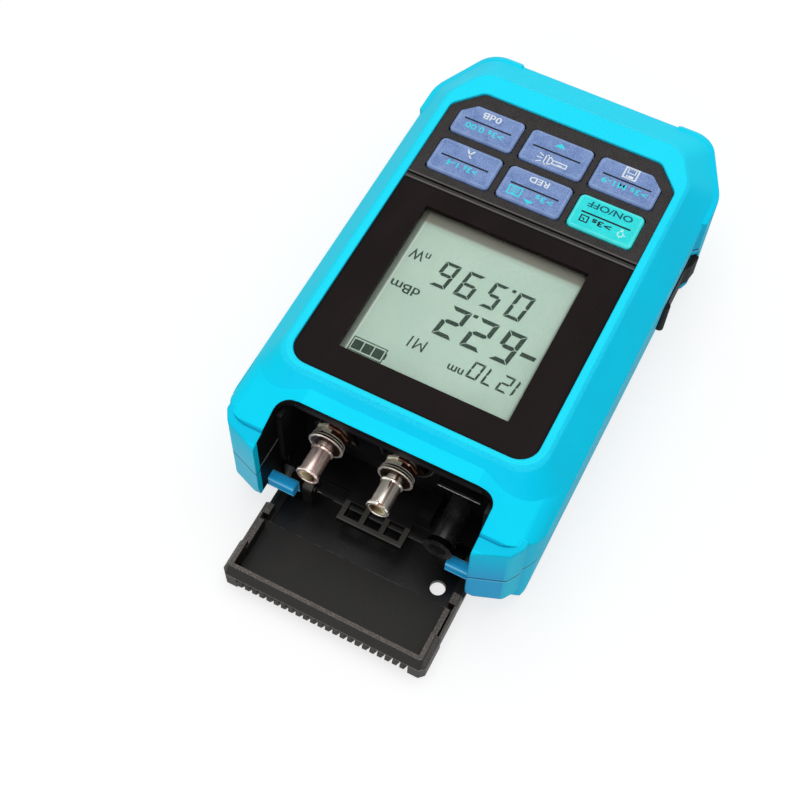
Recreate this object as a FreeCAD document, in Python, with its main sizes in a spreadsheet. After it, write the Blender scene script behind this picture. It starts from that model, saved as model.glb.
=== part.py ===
"""Hand-held optical power meter with a red-light source, as a parametric document.

The row frame: X to the right, the port end towards -Y, the keypad end towards +Y, +Z up.
The meter lies on its back. The origin is on the flat back, in the middle of the case.
Every length is in millimetres and comes from the sheet named dims.
"""
import FreeCAD, Part
import Sketcher
import math
import os
import re

# ---------------------------------------------------------------------------
# Driving dimensions: alias, value and what it measures
# ---------------------------------------------------------------------------
DIMENSIONS = [
    ("base_z", 0, "flat back of the case"),
    ("case_half_width", 34.4, "widest half width of the case"),
    ("case_foot_half_width", 33.5, "half width where the draft of the side wall ends"),
    ("case_far_y", 59.2, "end wall behind the keypad"),
    ("case_far_half_width", 27.1, "end wall's half width before the corner facet"),
    ("case_corner_y", 43.9, "where the far corner facet starts on the side"),
    ("case_corner_round", 11, "plan radius where the far facet meets the side"),
    ("case_far_corner_round", 6.5, "plan radius where the far facet meets the end wall"),
    ("case_front_y", -55.7, "front of the shoulders"),
    ("case_front_corner_round", 8.7, "plan radius of the shoulders"),
    ("case_front_chin_z", 9.5, "height where the raked front underside starts"),
    ("case_front_toe_y", -49.6, "front edge of the flat back"),
    ("case_foot_round", 6.0, "round between side wall and back"),
    ("flank_z", 27.0, "lower edge of the sloping flank"),
    ("crest_z", 35.4, "top of the frame round the panel"),
    ("crest_half_width", 29.0, "half width of the crest"),
    ("crest_far_y", 46.8, "far edge of the crest"),
    ("crest_far_half_width", 24.1, "far crest's half width before the facet"),
    ("crest_corner_y", 37.5, "where the crest's facet starts"),
    ("crest_front_y", -42.2, "front edge of the crest"),
    ("flank_front_y", -52.0, "front flank's lower edge"),
    ("crest_corner_round", 6.0, "plan radius of the crest's front corners"),
    ("flank_corner_round", 13.0, "plan radius of the front flank corners at their foot"),
    ("crest_facet_round", 9, "plan radius where the crest's facet meets its side"),
    ("crest_far_round", 5.5, "plan radius where the crest's facet meets its far edge"),
    ("crest_bevel", 0.5, "bevel along the outer edge of the crest"),
    ("shoulder_top_z", 33.5, "top of the shoulder beside the port bay"),
    ("shoulder_tip_z", 30.5, "shoulder height at its front"),
    ("shoulder_flat_half_width", 19.0, "flat part of the shoulder"),
    ("shoulder_side_z", 29.2, "shoulder height at the side"),
    ("shoulder_round", 5.0, "round between the shoulder and the side"),
    ("shoulder_rear_y", -35.5, "rear end of the shoulder at the side"),
    ("split_z", 18.0, "joint face between the two shells"),
    ("wall", 2.2, "shell wall"),
    ("bumper_front_y", -59.1, "front of the horns"),
    ("bumper_outer_half_width", 32.4, "outer side of the horns"),
    ("horn_facet_x", 1.7, "horn's outer facet along X"),
    ("horn_facet_y", 2.7, "each step of the horn's outer facet along Y"),
    ("horn_round", 1.5, "plan radius of the horn's outer corners"),
    ("bumper_top_z", 30.2, "top of the horns"),
    ("bumper_step_y", -52.0, "rear end of the horn blocks"),
    ("far_bumper_proud", 0.8, "how far the far corner bumpers stand out"),
    ("far_bumper_half_width", 19.4, "inner end of the far bumpers"),
    ("far_bumper_side_y", 34.6, "front end of the far bumpers"),
    ("far_bumper_low_z", 4.5, "underside of the far bumpers"),
    ("far_bumper_top_z", 27.9, "top of the far bumpers"),
    ("bay_half_width", 23.5, "port bay half width"),
    ("bay_rear_y", -39.6, "rear of the cut for the port panel"),
    ("notch_rear_y", -47.5, "rear edge of the notch in the top"),
    ("notch_round", 2.8, "plan radius of the notch"),
    ("bay_roof_z", 32.0, "underside of the roof over the port bay"),
    ("bay_floor_front_y", -49.0, "front edge of the case floor in the bay"),
    ("panel_half_width", 26.7, "panel recess half width"),
    ("panel_front_y", -40.3, "panel recess front edge"),
    ("panel_far_y", 40.4, "panel recess far edge"),
    ("panel_corner_round", 4.5, "round of the near panel corners"),
    ("panel_facet_x", 5.5, "far panel corner facet along X"),
    ("panel_facet_y", 6.2, "far panel corner facet along Y"),
    ("panel_top_z", 35.0, "face of the display frame and of the keypad plate"),
    ("panel_thickness", 1.2, "display frame and keypad plate thickness"),
    ("panel_seat_z", 33.7, "seat of the panel in the upper shell"),
    ("panel_gap", 0.15, "gap round the panel"),
    ("deck_under_z", 31.5, "underside of the deck that carries the panel"),
    ("window_half_width", 18.7, "display window half width"),
    ("window_front_y", -33.2, "display window near edge"),
    ("window_far_y", 6.2, "display window far edge"),
    ("frame_far_y", 11.2, "far edge of the display frame"),
    ("deck_window_half_width", 21.0, "deck opening under the window"),
    ("deck_window_front_y", -36.0, "deck opening near edge"),
    ("deck_window_far_y", 8.8, "deck opening far edge"),
    ("pane_thickness", 0.9, "clear pane"),
    ("glass_thickness", 2.0, "liquid crystal cell"),
    ("glass_top_z", 32.7, "face of the liquid crystal cell"),
    ("holder_low_z", 28.7, "foot of the display holder"),
    ("holder_wall", 1.2, "wall of the display holder"),
    ("keypad_near_y", 11.4, "near edge of the keypad plate"),
    ("keypad_groove_y", 12.4, "groove across the keypad plate"),
    ("keypad_groove_width", 0.45, "width of that groove"),
    ("keypad_groove_depth", 0.4, "depth of that groove"),
    ("key_pitch_x", 16.5, "key columns"),
    ("key_width", 14.7, "key size along X"),
    ("key_depth", 9.2, "key size along Y"),
    ("near_row_y", 20.1, "centre of the near key row"),
    ("far_row_y", 31.65, "centre of the far key row"),
    ("key_corner", 1.3, "key corner round"),
    ("key_facet", 3.0, "facet on the outer far keys"),
    ("key_gap", 0.25, "gap round a key"),
    ("key_top_z", 35.5, "key face at rest"),
    ("key_flange_top_z", 33.5, "top of the flange that keeps a key in"),
    ("key_flange_low_z", 32.9, "underside of a key"),
    ("key_flange_proud", 0.7, "flange beyond the key"),
    ("key_dish", 0.25, "edge round of the key face"),
    ("mat_top_z", 31.2, "top of the rubber mat sheet"),
    ("mat_thickness", 0.8, "rubber mat sheet"),
    ("plunger_half", 2.6, "half side of the plunger under each key"),
    ("plunger_top_z", 32.1, "top of that plunger"),
    ("board_top_z", 28.6, "face of the main board"),
    ("board_thickness", 1.6, "main board"),
    ("board_half_width", 24.4, "main board half width"),
    ("board_near_y", -36.5, "main board near edge"),
    ("board_far_y", 38.0, "main board far edge"),
    ("switch_half", 2.2, "half side of a snap switch on the board"),
    ("switch_height", 0.9, "snap switch height"),
    ("port_z", 20.7, "height of the optical ports"),
    ("laser_x", -13.8, "red-light port"),
    ("meter_x", 2.0, "power meter port"),
    ("torch_x", 15.4, "torch"),
    ("torch_z", 15.2, "torch height"),
    ("ferrule_radius", 1.25, "bore for a standard ferrule"),
    ("ferrule_depth", 13.0, "depth of the ferrule bore"),
    ("adapter_tip_y", -55.5, "tip of the adapters"),
    ("adapter_tube_radius", 1.8, "adapter tube"),
    ("adapter_lip_radius", 2.3, "lip at the adapter tip"),
    ("adapter_lip_length", 0.8, "lip length"),
    ("adapter_stem_y", -46.6, "front end of the threaded stem"),
    ("adapter_thread_radius", 3.2, "threaded stem"),
    ("adapter_stem_end_y", -36.6, "inner end of the stem"),
    ("nut_flats", 8.0, "adapter nut across flats"),
    ("nut_length", 2.7, "adapter nut thickness"),
    ("panel_face_y", -41.4, "front face of the port panel's wall"),
    ("liner_half_width", 23.35, "outer side of the port panel"),
    ("liner_wall", 1.2, "port panel side walls"),
    ("liner_front_y", -50.4, "front of the port panel side walls"),
    ("liner_top_z", 29.6, "top of the port panel side walls"),
    ("liner_apron_y", -49.6, "front of the black apron below the floor"),
    ("liner_apron_z", 0.6, "foot of that apron"),
    ("liner_low_z", 8.0, "foot of the port panel side walls"),
    ("panel_ceiling_z", 30.4, "underside of the port panel's roof"),
    ("slab_top_z", 7.9, "top of the port panel floor"),
    ("slab_low_z", 6.3, "underside of the port panel floor"),
    ("shelf_half_width", 7.45, "three-pocket shelf half width"),
    ("shelf_front_y", -55.6, "front of the three-pocket shelf"),
    ("shelf_rear_y", -51.0, "rear of the three pockets"),
    ("shelf_wall", 1.1, "walls of the pockets"),
    ("shelf_low_z", 5.9, "underside of the shelf"),
    ("hinge_y", -51.3, "dust cover hinge"),
    ("hinge_z", 6.5, "dust cover hinge"),
    ("pin_radius", 0.8, "hinge pin"),
    ("pin_clearance", 0.05, "running clearance of the hinge pins"),
    ("ear_radius", 1.6, "round of the dust cover's hinge ears"),
    ("ear_inner_x", 14.9, "inner side of an ear"),
    ("ear_outer_x", 17.1, "outer side of an ear"),
    ("lug_radius", 2.0, "round of the case's hinge lugs"),
    ("lug_inner_x", 17.5, "inner side of a lug"),
    ("lug_outer_x", 20.2, "outer side of a lug"),
    ("tab_front_y", -55.6, "front of the tabs on the horns"),
    ("tab_rear_y", -53.0, "rear of those tabs"),
    ("tab_low_z", 7.5, "underside of those tabs"),
    ("tab_top_z", 11.0, "top of those tabs"),
    ("tab_inner_x", 17.5, "inner end of those tabs"),
    ("cover_half_width", 23.0, "dust cover half width"),
    ("cover_tip_half_width", 23.2, "dust cover half width at its tip"),
    ("cover_step_y", -68.3, "where the dust cover widens"),
    ("cover_tip_y", -76.0, "front of the dust cover's tip wall"),
    ("cover_rear_y", -49.95, "rear edge of the dust cover's plate"),
    ("cover_low_z", 0.3, "outer face of the dust cover as it lies open"),
    ("cover_floor_z", 1.8, "inner face of the dust cover"),
    ("cover_ledge_z", 4.6, "height where the tip starts to slope in"),
    ("cover_rim_z", 7.1, "top of the tip's rim, which enters the bay"),
    ("cover_rim_wall", 0.9, "width of the rim's top"),
    ("cover_rim_half_width", 22.0, "outer side of the rim's top"),
    ("cover_corner", 1.1, "corner facet of the tip"),
    ("cover_wall_z", 4.3, "side walls of the dust cover"),
    ("cover_block_z", 5.4, "thick part of the side walls"),
    ("cover_block_inner_x", 21.0, "inner side of the thick part"),
    ("cover_block_end_y", -62.0, "rear end of the thick part"),
    ("cover_lump_near_y", -60.3, "near end of the small blocks behind the thick parts"),
    ("cover_wall_end_y", -57.8, "rear end of the side walls"),
    ("cover_corner_end_y", -52.9, "rear edge of the plate's corners, clear of the tabs"),
    ("cover_corner_x", 17.3, "inner side of those corners"),
    ("grip_half_width", 19.7, "half width of the ribbed grip"),
    ("grip_top_z", 4.4, "upper edge of the grip's rake"),
    ("grip_rear_y", -73.2, "lower edge of the grip's rake"),
    ("rib_count", 23, "grip ribs"),
    ("rib_pitch", 1.69, "rib spacing"),
    ("rib_width", 0.95, "rib thickness"),
    ("rib_front_y", -76.5, "front of the ribs"),
    ("drain_x", 17.2, "small hole in the dust cover"),
    ("drain_y", -57.3, "small hole in the dust cover"),
    ("drain_radius", 1.65, "small hole in the dust cover"),
    ("torch_radius", 2.55, "torch barrel"),
    ("torch_rim_radius", 3.3, "flared rim of the torch barrel"),
    ("torch_tip_y", -55.4, "tip of the torch barrel"),
    ("led_radius", 1.8, "torch lamp"),
    ("battery_near_y", 4.0, "near edge of the battery cover"),
    ("battery_far_y", 50.0, "far edge of the battery cover"),
    ("battery_half_width", 24.0, "battery cover half width"),
    ("battery_cover_low_z", 0.3, "outer face of the battery cover"),
    ("battery_cover_top_z", 2.0, "inner face of the battery cover"),
    ("cell_width", 16.6, "width of a flat battery cell"),
    ("cell_length", 44.0, "length of a flat battery cell"),
    ("cell_low_z", 4.0, "underside of the cells"),
    ("cell_top_z", 12.5, "top of the cells"),
    ("cell_pitch", 17.4, "cell spacing"),
    ("cell_centre_y", 27.0, "middle of the cells"),
    ("post_x", 28.0, "screw posts beside the centre line"),
    ("post_near_y", -33.0, "near screw posts"),
    ("post_far_y", 45.5, "far screw posts"),
    ("post_far_x", 27.9, "far screw posts beside the centre line"),
    ("post_half", 3.1, "half side of the square screw posts"),
    ("screw_head_radius", 2.5, "recess for a case screw's head"),
    ("screw_head_z", 3.4, "floor of that recess"),
    ("plug_near_y", 18.6, "near end of the socket cover"),
    ("plug_far_y", 38.2, "far end of the socket cover"),
    ("plug_low_z", 7.4, "lower edge of the socket cover"),
    ("plug_top_z", 15.9, "upper edge of the socket cover"),
    ("plug_pocket_x", 32.9, "floor of the pocket for the socket cover"),
    ("plug_face_x", 34.35, "face of the socket cover"),
    ("plug_grip_x", 35.8, "raised finger grip of the socket cover"),
    ("plug_grip_length", 5.6, "length of that grip"),
    ("plug_gap", 0.3, "gap round the socket cover"),
    ("plug_knuckle_radius", 1.1, "round end that the socket cover turns about"),
    ("socket_y", 29.0, "middle of the charging socket"),
    ("socket_z", 11.6, "height of the charging socket"),
    ("socket_half_width", 4.5, "charging socket along Y"),
    ("socket_half_height", 1.6, "charging socket along Z"),
    ("socket_depth", 7.3, "charging socket along X"),
]

doc = FreeCAD.newDocument("optical_power_meter")
sheet = doc.addObject("Spreadsheet::Sheet", "dims")
for row, (alias, number, meaning) in enumerate(DIMENSIONS, start=1):
    sheet.set("A%d" % row, meaning)
    sheet.set("B%d" % row, str(number))
    sheet.setAlias("B%d" % row, alias)
doc.recompute()
ALIASES = {alias for alias, number, meaning in DIMENSIONS}
TINY = 1e-4


# ---------------------------------------------------------------------------
# Helpers: every size is an expression on the sheet
# ---------------------------------------------------------------------------
def link(size):
    """An expression with the sheet's name put before each alias."""
    return re.sub(r"[a-z_]+", lambda word: "dims." + word[0] if word[0] in ALIASES else word[0], str(size))


def value(size):
    """The number that an expression gives now."""
    return float(sheet.evalExpression(link(size)))


def origin_plane(body, role):
    return [item for item in body.Origin.OriginFeatures if item.Role == role][0]


def sketch_polygon(body, role, corners, offset):
    """A closed polygon on one of the body's origin planes, each corner tied to the sheet."""
    sketch = body.newObject("Sketcher::SketchObject", body.Name + "_sketch")
    sketch.AttachmentSupport = (origin_plane(body, role), [""])
    sketch.MapMode = "FlatFace"
    sketch.setExpression("AttachmentOffset.Base.z", link(offset))
    numbers = [(value(across), value(up)) for across, up in corners]
    count = len(corners)
    for index in range(count):
        start = FreeCAD.Vector(numbers[index][0], numbers[index][1], 0)
        end = FreeCAD.Vector(numbers[(index + 1) % count][0], numbers[(index + 1) % count][1], 0)
        sketch.addGeometry(Part.LineSegment(start, end))
    for index in range(count):
        sketch.addConstraint(Sketcher.Constraint("Coincident", index, 2, (index + 1) % count, 1))
    for index in range(count):
        for kind, number, size in zip(("DistanceX", "DistanceY"), numbers[index], corners[index]):
            place = sketch.addConstraint(Sketcher.Constraint(kind, -1, 1, index, 1, number))
            sketch.setExpression("Constraints[%d]" % place, link(size))
    return sketch


def corner_edges(shape, role, across, up):
    """Names of the straight edges that run along the pad through one corner of its sketch."""
    picks = {"XY_Plane": ("x", "y"), "XZ_Plane": ("x", "z"), "YZ_Plane": ("y", "z")}[role]
    names = []
    for index, edge in enumerate(shape.Edges, start=1):
        ends = [vertex.Point for vertex in edge.Vertexes]
        if len(ends) == 2 and all(abs(getattr(end, picks[0]) - across) < TINY
                                  and abs(getattr(end, picks[1]) - up) < TINY for end in ends):
            names.append("Edge%d" % index)
    return names


def prism(name, role, corners, start, end, rounds=()):
    """A body padded from a polygon, between two places along the plane's axis.

    rounds holds (across, up, radius) for each corner that is rounded.
    """
    body = doc.addObject("PartDesign::Body", name)
    offset = "-(%s)" % end if role == "XZ_Plane" else start
    sketch = sketch_polygon(body, role, corners, offset)
    pad = body.newObject("PartDesign::Pad", name + "_pad")
    pad.Profile = sketch
    pad.setExpression("Length", link("(%s) - (%s)" % (end, start)))
    doc.recompute()
    tip = pad
    for radius in sorted({radius for across, up, radius in rounds}):
        names = []
        for across, up, wanted in rounds:
            if wanted == radius:
                names += corner_edges(tip.Shape, role, value(across), value(up))
        fillet = body.newObject("PartDesign::Fillet", name + "_round")
        fillet.Base = (tip, names)
        fillet.setExpression("Radius", link(radius))
        doc.recompute()
        tip = fillet
    return body


def both_sides(points):
    """A polygon mirrored about the middle plane, from its right half listed upwards."""
    left = [("-(%s)" % across, up) for across, up in reversed(points)]
    return points + left


def box(name, x_low, x_high, y_low, y_high, z_low, z_high):
    block = doc.addObject("Part::Box", name)
    block.setExpression("Length", link("(%s) - (%s)" % (x_high, x_low)))
    block.setExpression("Width", link("(%s) - (%s)" % (y_high, y_low)))
    block.setExpression("Height", link("(%s) - (%s)" % (z_high, z_low)))
    block.setExpression("Placement.Base.x", link(x_low))
    block.setExpression("Placement.Base.y", link(y_low))
    block.setExpression("Placement.Base.z", link(z_low))
    return block


TURNS = {
    "x": FreeCAD.Rotation(FreeCAD.Vector(0, 1, 0), 90),
    "y": FreeCAD.Rotation(FreeCAD.Vector(1, 0, 0), -90),
    "z": FreeCAD.Rotation(),
}


def place_along(item, axis, start, first, second):
    """Puts a round primitive on an axis: first and second are its other two coordinates."""
    order = {"x": (start, first, second), "y": (first, start, second), "z": (first, second, start)}[axis]
    item.Placement = FreeCAD.Placement(FreeCAD.Vector(), TURNS[axis])
    for letter, size in zip("xyz", order):
        item.setExpression("Placement.Base." + letter, link(size))
    return item


def rod(name, axis, radius, start, end, first, second):
    cylinder = doc.addObject("Part::Cylinder", name)
    cylinder.setExpression("Radius", link(radius))
    cylinder.setExpression("Height", link("(%s) - (%s)" % (end, start)))
    return place_along(cylinder, axis, start, first, second)


def fuse(name, *shapes):
    joined = doc.addObject("Part::MultiFuse", name)
    joined.Shapes = list(shapes)
    joined.Refine = True
    return joined


def common(name, *shapes):
    shared = doc.addObject("Part::MultiCommon", name)
    shared.Shapes = list(shapes)
    return shared


def cut(name, base, *tools):
    result = doc.addObject("Part::Cut", name)
    result.Base = base
    result.Tool = tools[0] if len(tools) == 1 else fuse(name + "_tools", *tools)
    result.Refine = True
    return result


NODES = []


def node(name, item):
    """Labels the object that stands for one real piece; its label names its file."""
    item.Label = name
    NODES.append(item)
    return item


# ---------------------------------------------------------------------------
# Outer form of the case, whole
# ---------------------------------------------------------------------------
def case_plan(name, low, high):
    """Plan outline of the case: straight sides, faceted far corners, round shoulders."""
    corners = both_sides([
        ("case_half_width", "case_front_y"),
        ("case_half_width", "case_corner_y"),
        ("case_far_half_width", "case_far_y"),
    ])
    rounds = []
    for side in ("", "-"):
        rounds += [
            (side + "case_half_width", "case_front_y", "case_front_corner_round"),
            (side + "case_half_width", "case_corner_y", "case_corner_round"),
            (side + "case_far_half_width", "case_far_y", "case_far_corner_round"),
        ]
    return prism(name, "XY_Plane", corners, low, high, rounds)


def middle_form():
    """Drafted side walls, rounded foot and raked front underside, as three crossed prisms."""
    section = prism("case_section", "XZ_Plane", both_sides([
        ("case_foot_half_width", "base_z"),
        ("case_half_width", "flank_z"),
    ]), "bumper_front_y - 2", "case_far_y + 4", [
        ("case_foot_half_width", "base_z", "case_foot_round"),
        ("-case_foot_half_width", "base_z", "case_foot_round"),
    ])
    side = prism("case_side", "YZ_Plane", [
        ("case_front_toe_y", "base_z"),
        ("case_far_y - 0.9", "base_z"),
        ("case_far_y", "flank_z"),
        ("case_front_y", "flank_z"),
        ("case_front_y", "case_front_chin_z"),
    ], "-case_half_width - 4", "case_half_width + 4", [
        ("case_far_y - 0.9", "base_z", "case_foot_round"),
        ("case_front_toe_y", "base_z", "3"),
        ("case_front_y", "case_front_chin_z", "2"),
    ])
    return common("middle_form", section, side, case_plan("middle_plan", "base_z", "flank_z"))


def rounded_sketch(body, corners, offset):
    """A closed outline on the body's XY plane: corners are (x, y, radius), and radius 0 is sharp.

    Each rounded corner is a construction point tied to the sheet, which both its lines run through.
    """
    sketch = body.newObject("Sketcher::SketchObject", body.Name + "_outline")
    sketch.AttachmentSupport = (origin_plane(body, "XY_Plane"), [""])
    sketch.MapMode = "FlatFace"
    sketch.setExpression("AttachmentOffset.Base.z", link(offset))
    count = len(corners)
    points = [FreeCAD.Vector(value(across), value(up), 0) for across, up, radius in corners]
    arcs = []
    for index, (across, up, radius) in enumerate(corners):
        here = points[index]
        back = (points[index - 1] - here).normalize()
        ahead = (points[(index + 1) % count] - here).normalize()
        half_angle = back.getAngle(ahead) / 2
        run = value(radius) / math.tan(half_angle)
        middle = here + (back + ahead).normalize() * (value(radius) / math.sin(half_angle))
        nearest = middle + (here - middle).normalize() * value(radius) if radius != "0" else here
        arcs.append((here + back * run, nearest, here + ahead * run))
    for index in range(count):
        sketch.addGeometry(Part.LineSegment(arcs[index][2], arcs[(index + 1) % count][0]))
    for index, (across, up, radius) in enumerate(corners):
        before = (index - 1) % count
        tied, place = index, 1
        if radius == "0":
            sketch.addConstraint(Sketcher.Constraint("Coincident", before, 2, index, 1))
        else:
            arc = sketch.addGeometry(Part.Arc(*arcs[index]))
            tied = sketch.addGeometry(Part.Point(points[index]), True)
            first = 1 if (sketch.getPoint(arc, 1) - arcs[index][0]).Length < 0.001 else 2
            sketch.addConstraint(Sketcher.Constraint("Tangent", before, 2, arc, first))
            sketch.addConstraint(Sketcher.Constraint("Tangent", index, 1, arc, 3 - first))
            sketch.addConstraint(Sketcher.Constraint("PointOnObject", tied, 1, before))
            sketch.addConstraint(Sketcher.Constraint("PointOnObject", tied, 1, index))
            bend = sketch.addConstraint(Sketcher.Constraint("Radius", arc, value(radius)))
            sketch.setExpression("Constraints[%d]" % bend, link(radius))
        reaches = (("DistanceX", points[index].x, across), ("DistanceY", points[index].y, up))
        for kind, number, size in reaches:
            reach = sketch.addConstraint(Sketcher.Constraint(kind, -1, 1, tied, place, number))
            sketch.setExpression("Constraints[%d]" % reach, link(size))
    return sketch


def stacked_loft(name, levels):
    """A ruled loft through rounded outlines: levels are (corners, height) from the bottom up."""
    body = doc.addObject("PartDesign::Body", name)
    outlines = [rounded_sketch(body, corners, height) for corners, height in levels]
    loft = body.newObject("PartDesign::AdditiveLoft", name + "_loft")
    loft.Profile = outlines[0]
    loft.Sections = outlines[1:]
    loft.Ruled = True
    doc.recompute()
    return body


def mirrored_corners(right):
    """Corners of an outline that is the same on both sides, from its right half."""
    return right + [("-(%s)" % across, up, radius) for across, up, radius in reversed(right)]


def crest_outline(inset):
    return mirrored_corners([
        ("crest_half_width - (%s)" % inset, "crest_front_y + (%s)" % inset, "crest_corner_round"),
        ("crest_half_width - (%s)" % inset, "crest_corner_y - 0.4 * (%s)" % inset, "crest_facet_round"),
        ("crest_far_half_width - 0.5 * (%s)" % inset, "crest_far_y - (%s)" % inset, "crest_far_round"),
    ])


def crest_form():
    """The raised frame round the panel: a loft from the flank's foot up to a bevelled crest."""
    foot = mirrored_corners([
        ("case_half_width", "flank_front_y", "flank_corner_round"),
        ("case_half_width", "case_corner_y", "case_corner_round"),
        ("case_far_half_width", "case_far_y", "case_far_corner_round"),
    ])
    return stacked_loft("crest_form", [
        (foot, "flank_z"),
        (crest_outline("0"), "crest_z - crest_bevel"),
        (crest_outline("1.4 * crest_bevel"), "crest_z"),
    ])


def shoulder_form():
    """The lower surface beside the port bay: rounded to the sides and sloping to the front."""
    section = prism("shoulder_section", "XZ_Plane", both_sides([
        ("case_half_width", "split_z"),
        ("case_half_width", "shoulder_side_z"),
        ("shoulder_flat_half_width", "shoulder_top_z"),
    ]), "bumper_front_y", "shoulder_rear_y", [
        ("case_half_width", "shoulder_side_z", "shoulder_round"),
        ("-case_half_width", "shoulder_side_z", "shoulder_round"),
    ])
    slope = prism("shoulder_slope", "YZ_Plane", [
        ("case_front_y", "split_z"),
        ("shoulder_rear_y", "split_z"),
        ("shoulder_rear_y", "flank_z"),
        ("shoulder_rear_y - 5.5", "shoulder_top_z"),
        ("notch_rear_y", "shoulder_top_z"),
        ("case_front_y", "shoulder_tip_z"),
    ], "-case_half_width - 1", "case_half_width + 1", [
        ("notch_rear_y", "shoulder_top_z", "8"),
        ("case_front_y", "shoulder_tip_z", "1.2"),
    ])
    return common("shoulder_form", section, slope, case_plan("shoulder_plan", "split_z", "crest_z"))


def horn_blocks():
    """The two protecting horns in front of the shoulders, before the bay is cut."""
    corners = both_sides([
        ("bay_half_width", "bumper_front_y"),
        ("bumper_outer_half_width - horn_facet_x", "bumper_front_y + horn_facet_y"),
        ("bumper_outer_half_width", "bumper_front_y + 2 * horn_facet_y"),
        ("bumper_outer_half_width", "bumper_step_y"),
    ])
    rounds = []
    for side in ("", "-"):
        rounds += [
            (side + "(bumper_outer_half_width)", "bumper_front_y + 2 * horn_facet_y", "horn_round"),
            (side + "(bumper_outer_half_width - horn_facet_x)", "bumper_front_y + horn_facet_y",
             "horn_round"),
        ]
    plan = prism("horn_plan", "XY_Plane", corners, "case_front_chin_z - 0.6", "bumper_top_z + 3", rounds)
    profile = prism("horn_profile", "YZ_Plane", [
        ("bumper_front_y + 0.6", "case_front_chin_z - 0.6"),
        ("bumper_step_y + 1", "case_front_chin_z - 0.6"),
        ("bumper_step_y + 1", "bumper_top_z - 0.2"),
        ("case_front_y + 0.2", "bumper_top_z"),
        ("bumper_front_y", "bumper_top_z - 0.9"),
        ("bumper_front_y", "case_front_chin_z + 3"),
    ], "-case_half_width", "case_half_width", [
        ("bumper_front_y", "bumper_top_z - 0.9", "1.3"),
        ("bumper_front_y", "case_front_chin_z + 3", "2"),
    ])
    return common("horn_blocks", plan, profile)


def far_bumper_outline(proud):
    return mirrored_corners([
        ("case_half_width - 0.9", "far_bumper_side_y", "0"),
        ("case_half_width + (%s)" % proud, "far_bumper_side_y + 0.9 + (%s)" % proud, "0"),
        ("case_half_width + (%s)" % proud, "case_corner_y + 0.4 * (%s)" % proud,
         "case_corner_round"),
        ("case_far_half_width + 0.6 * (%s)" % proud, "case_far_y + (%s)" % proud,
         "case_far_corner_round"),
    ])


def far_bumpers():
    """Thickened far corners that stand a little out of the side and end walls."""
    ring = stacked_loft("far_bumper_ring", [
        (far_bumper_outline("0"), "far_bumper_low_z - 1.5"),
        (far_bumper_outline("far_bumper_proud"), "far_bumper_low_z"),
        (far_bumper_outline("far_bumper_proud"), "far_bumper_top_z - 1"),
        (far_bumper_outline("-far_bumper_proud"), "far_bumper_top_z"),
    ])
    middle = prism("far_bumper_gap", "XY_Plane", both_sides([
        ("far_bumper_half_width", "far_bumper_side_y - 10"),
        ("far_bumper_half_width", "case_far_y"),
        ("far_bumper_half_width + 1.4", "case_far_y + far_bumper_proud + 1"),
    ]), "base_z", "crest_z")
    return cut("far_bumpers", ring, middle)


whole_case = fuse("whole_case", middle_form(), crest_form(), shoulder_form(), horn_blocks(), far_bumpers())

# ---------------------------------------------------------------------------
# Openings that both shells share
# ---------------------------------------------------------------------------
notch = prism("notch", "XY_Plane", both_sides([
    ("bay_half_width", "bumper_front_y - 3"),
    ("bay_half_width", "notch_rear_y"),
]), "slab_low_z", "crest_z + 3", [
    ("bay_half_width", "notch_rear_y", "notch_round"),
    ("-bay_half_width", "notch_rear_y", "notch_round"),
])
bay = box("bay", "-bay_half_width", "bay_half_width", "notch_rear_y - 5", "bay_rear_y",
          "slab_low_z", "bay_roof_z - 1.6")
bay_roof = box("bay_roof", "-bay_half_width + 3", "bay_half_width - 3", "notch_rear_y", "bay_rear_y",
               "bay_roof_z - 2", "bay_roof_z")
apron = box("apron", "-bay_half_width", "bay_half_width", "bumper_front_y - 3", "bay_floor_front_y",
            "base_z - 1", "slab_low_z + 1")
port_window = box("port_window", "laser_x - 4.2", "torch_x + 3.2", "bay_rear_y - 1", "bay_rear_y + wall + 1",
                  "torch_z - 3", "port_z + 4.2")
open_case = cut("open_case", whole_case, notch, bay, bay_roof, apron, port_window)


def split(name, low, high):
    return box(name, "-case_half_width - 5", "case_half_width + 5", "bumper_front_y - 5",
               "case_far_y + 5", low, high)


def screw_places():
    """The four screws that hold the shells together: their x and y expressions."""
    return [
        ("post_x", "post_near_y"),
        ("-post_x", "post_near_y"),
        ("post_far_x", "post_far_y"),
        ("-post_far_x", "post_far_y"),
    ]


# ---------------------------------------------------------------------------
# Upper shell
# ---------------------------------------------------------------------------
def panel_outline(name, near, far, low, high, gap="0", far_facets=True, near_rounds=True):
    """A plate of the panel recess's own outline, between two edges along Y."""
    side = "panel_half_width - (%s)" % gap
    right = [(side, near)]
    if far_facets:
        right += [
            (side, "(%s) - panel_facet_y" % far),
            ("%s - panel_facet_x" % side, far),
        ]
    else:
        right += [(side, far)]
    rounds = []
    for sign in ("", "-"):
        if near_rounds:
            rounds.append(("%s(%s)" % (sign, side), near, "panel_corner_round"))
        if far_facets:
            rounds.append(("%s(%s)" % (sign, side), "(%s) - panel_facet_y" % far, "2.5"))
            rounds.append(("%s(%s - panel_facet_x)" % (sign, side), far, "2.2"))
    return prism(name, "XY_Plane", both_sides(right), low, high, rounds)


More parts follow.
